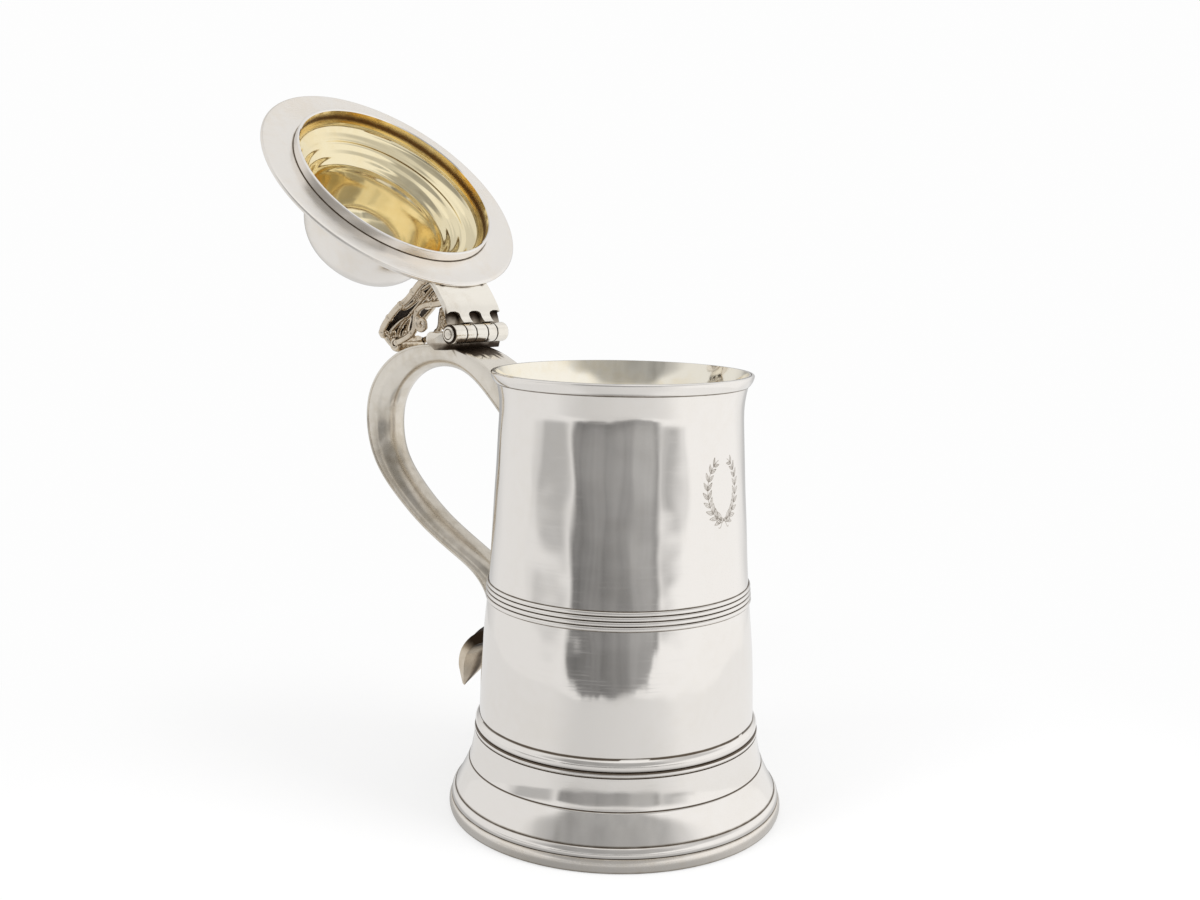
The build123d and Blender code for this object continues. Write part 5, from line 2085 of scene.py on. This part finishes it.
    def floor(self) -> None:
        """Pale disc under the foot that keeps the shadow and fades into the white."""
        wide, low, high = self.floor_radius, -1.0, -0.02
        outline = Outline().run([(0.0, low), (wide, low), (wide, high), (0.0, high)])
        mesh = new_mesh("floor", revolve(outline, full_turn(96)))
        floor = new_object("floor", mesh)
        Workshop.close(mesh)
        mesh.materials.append(self.floor_material())
        floor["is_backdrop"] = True

    def floor_material(self) -> Material:
        """White paper to the camera; in the silver, a painted glow, paler to the camera's right and dimmer
        towards the camera, with a painted shadow round the foot.
        """
        made = bpy.data.materials.new("white_floor")
        graph = blank_graph(made)
        path = graph.node("ShaderNodeLightPath")
        seen, glossy = graph.link(path, "Is Camera Ray"), graph.link(path, "Is Glossy Ray")
        mirrored = graph.math("MAXIMUM", glossy, graph.link(path, "Is Transmission Ray"))
        place = graph.link(graph.node("ShaderNodeTexCoord"), "Object")
        length = graph.node("ShaderNodeVectorMath", {0: place}, operation="LENGTH")
        span = graph.link(length, "Value")
        far = graph.ramp(span, 0.45 * self.floor_radius * MM, 0.98 * self.floor_radius * MM)
        plain = graph.node("ShaderNodeBsdfDiffuse", {"Color": (0.90, 0.90, 0.90, 1)})
        paper = {"Color": (1, 1, 1, 1), "Strength": self.WHITE}
        white = graph.node("ShaderNodeEmission", paper)
        share = seen * (0.55 + 0.45 * far)
        mixed = graph.node("ShaderNodeMixShader", {0: share, 1: plain, 2: white})
        front, aside = self.from_view(graph, place)
        sides = graph.ramp(aside / span, -0.9, 0.9, 0.74, 0.86)
        facing = graph.ramp(front / span, 0.62, 0.97)
        # painted shadow: the glow that the silver mirrors dims close round the foot
        painted_foot_shadow = graph.ramp(span, 1.02 * self.foot_radius * MM, 1.7 * self.foot_radius * MM, 0.30, 0.0)
        glow = sides - 0.13 * facing - painted_foot_shadow
        pale = graph.node("ShaderNodeEmission", {"Color": (1, 1, 1, 1), "Strength": glow})
        both = graph.node("ShaderNodeMixShader", {0: mirrored, 1: mixed, 2: pale})
        graph.node("ShaderNodeOutputMaterial", {"Surface": both})
        return made

    def lamps(self) -> None:
        """Two broad soft lamps above, left and right of the camera."""
        for name, turn, height, power in (("left", -58.0, 620.0, 1.0), ("right", 66.0, 560.0, 1.25)):
            data = bpy.data.lights.new(f"softbox_{name}", "AREA")
            data.shape = "DISK"
            data.size = self.lamp_size * MM
            data.energy = self.lamp_power * power
            lamp = new_object(data.name, data)
            lamp.visible_glossy = False
            angle = self.camera_angle + math.radians(turn)
            out = self.lamp_distance * MM
            place = Vector((math.cos(angle) * out, math.sin(angle) * out, height * MM))
            lamp.location = place
            aim = Vector((0, 0, self.lamp_target * MM)) - place
            lamp.rotation_euler = aim.to_track_quat("-Z", "Y").to_euler()


@dataclass
class Viewpoint:
    """The camera, placed round the tankard as in the photograph."""

    turn: float = 38.68
    distance: float = 500.62
    height: float = 217.446
    pitch: float = 0.152939
    yaw: float = -0.0158804
    roll: float = 0.0165274
    lens: float = 39.78
    sensor: float = 36.0

    @property
    def angle(self) -> float:
        """Direction of the camera from the barrel's axis, in radians about Z."""
        return math.radians(self.turn) - math.pi / 2

    def build(self) -> None:
        """Create the camera and make it the scene's own."""
        data = bpy.data.cameras.new("view")
        data.lens = self.lens
        data.sensor_width = self.sensor
        data.clip_start, data.clip_end = 0.01, 20.0
        camera = new_object("view", data)
        ahead = Vector(
            (
                math.sin(self.yaw) * math.cos(self.pitch),
                math.cos(self.yaw) * math.cos(self.pitch),
                -math.sin(self.pitch),
            )
        )
        right = Vector((math.cos(self.yaw), -math.sin(self.yaw), 0.0))
        up = right.cross(ahead)
        leant_right = math.cos(self.roll) * right + math.sin(self.roll) * up
        leant_up = -math.sin(self.roll) * right + math.cos(self.roll) * up
        axes = Matrix((leant_right, leant_up, -ahead)).transposed().to_4x4()
        around = Matrix.Rotation(math.radians(self.turn), 4, "Z")
        place = Matrix.Translation(Vector((0.0, -self.distance, self.height)) * MM)
        camera.matrix_world = around @ place @ axes
        bpy.context.scene.camera = camera


def corners(bounds: tuple[Vector, Vector]) -> list[list[float]]:
    """A box as plain lists."""
    return [list(bounds[0]), list(bounds[1])]


def main() -> None:
    """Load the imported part, dress it and set the studio."""
    logging.basicConfig(level=logging.INFO, format="%(name)s: %(message)s")
    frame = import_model()
    packed = corners(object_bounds())
    bpy.context.scene.view_settings.view_transform = "Standard"
    bpy.context.scene.cycles.max_bounces = 14
    bpy.context.scene.cycles.glossy_bounces = 12

    hinge = Hinge.from_frame(frame)
    barrel_low, barrel_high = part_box("barrel")
    side = SideProfile(bottom=barrel_low.z / MM, top=barrel_high.z / MM)
    ring_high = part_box("foot_ring")[1]
    lid_gap = 0.3
    plane = side.top + lid_gap

    shop = Workshop(hinge)
    reeds, strands = ReedTree(), StrandTree()
    Barrel(side).build(shop, reeds)
    Foot(top=side.bottom, ring_radius=ring_high.x / MM).build(shop)
    Handle(side, hinge).build(shop)
    HingeWork(hinge, plane).build(shop)
    Lid(plane).build(shop)
    Thumbpiece(hinge, plane).build(shop, strands)
    for body in ("tankard_body", "lid"):
        add_seam_lines_and_shade([piece for piece, rides_on in shop.made if rides_on == body], CLEAN_SEAMS)

    viewpoint = Viewpoint()
    studio = Studio(camera_angle=viewpoint.angle, foot_radius=ring_high.x / MM)
    studio.world()
    studio.floor()
    studio.lamps()
    viewpoint.build()
    {"packed": packed, "visual": corners(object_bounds())}


if __name__ == "__main__":
    main()
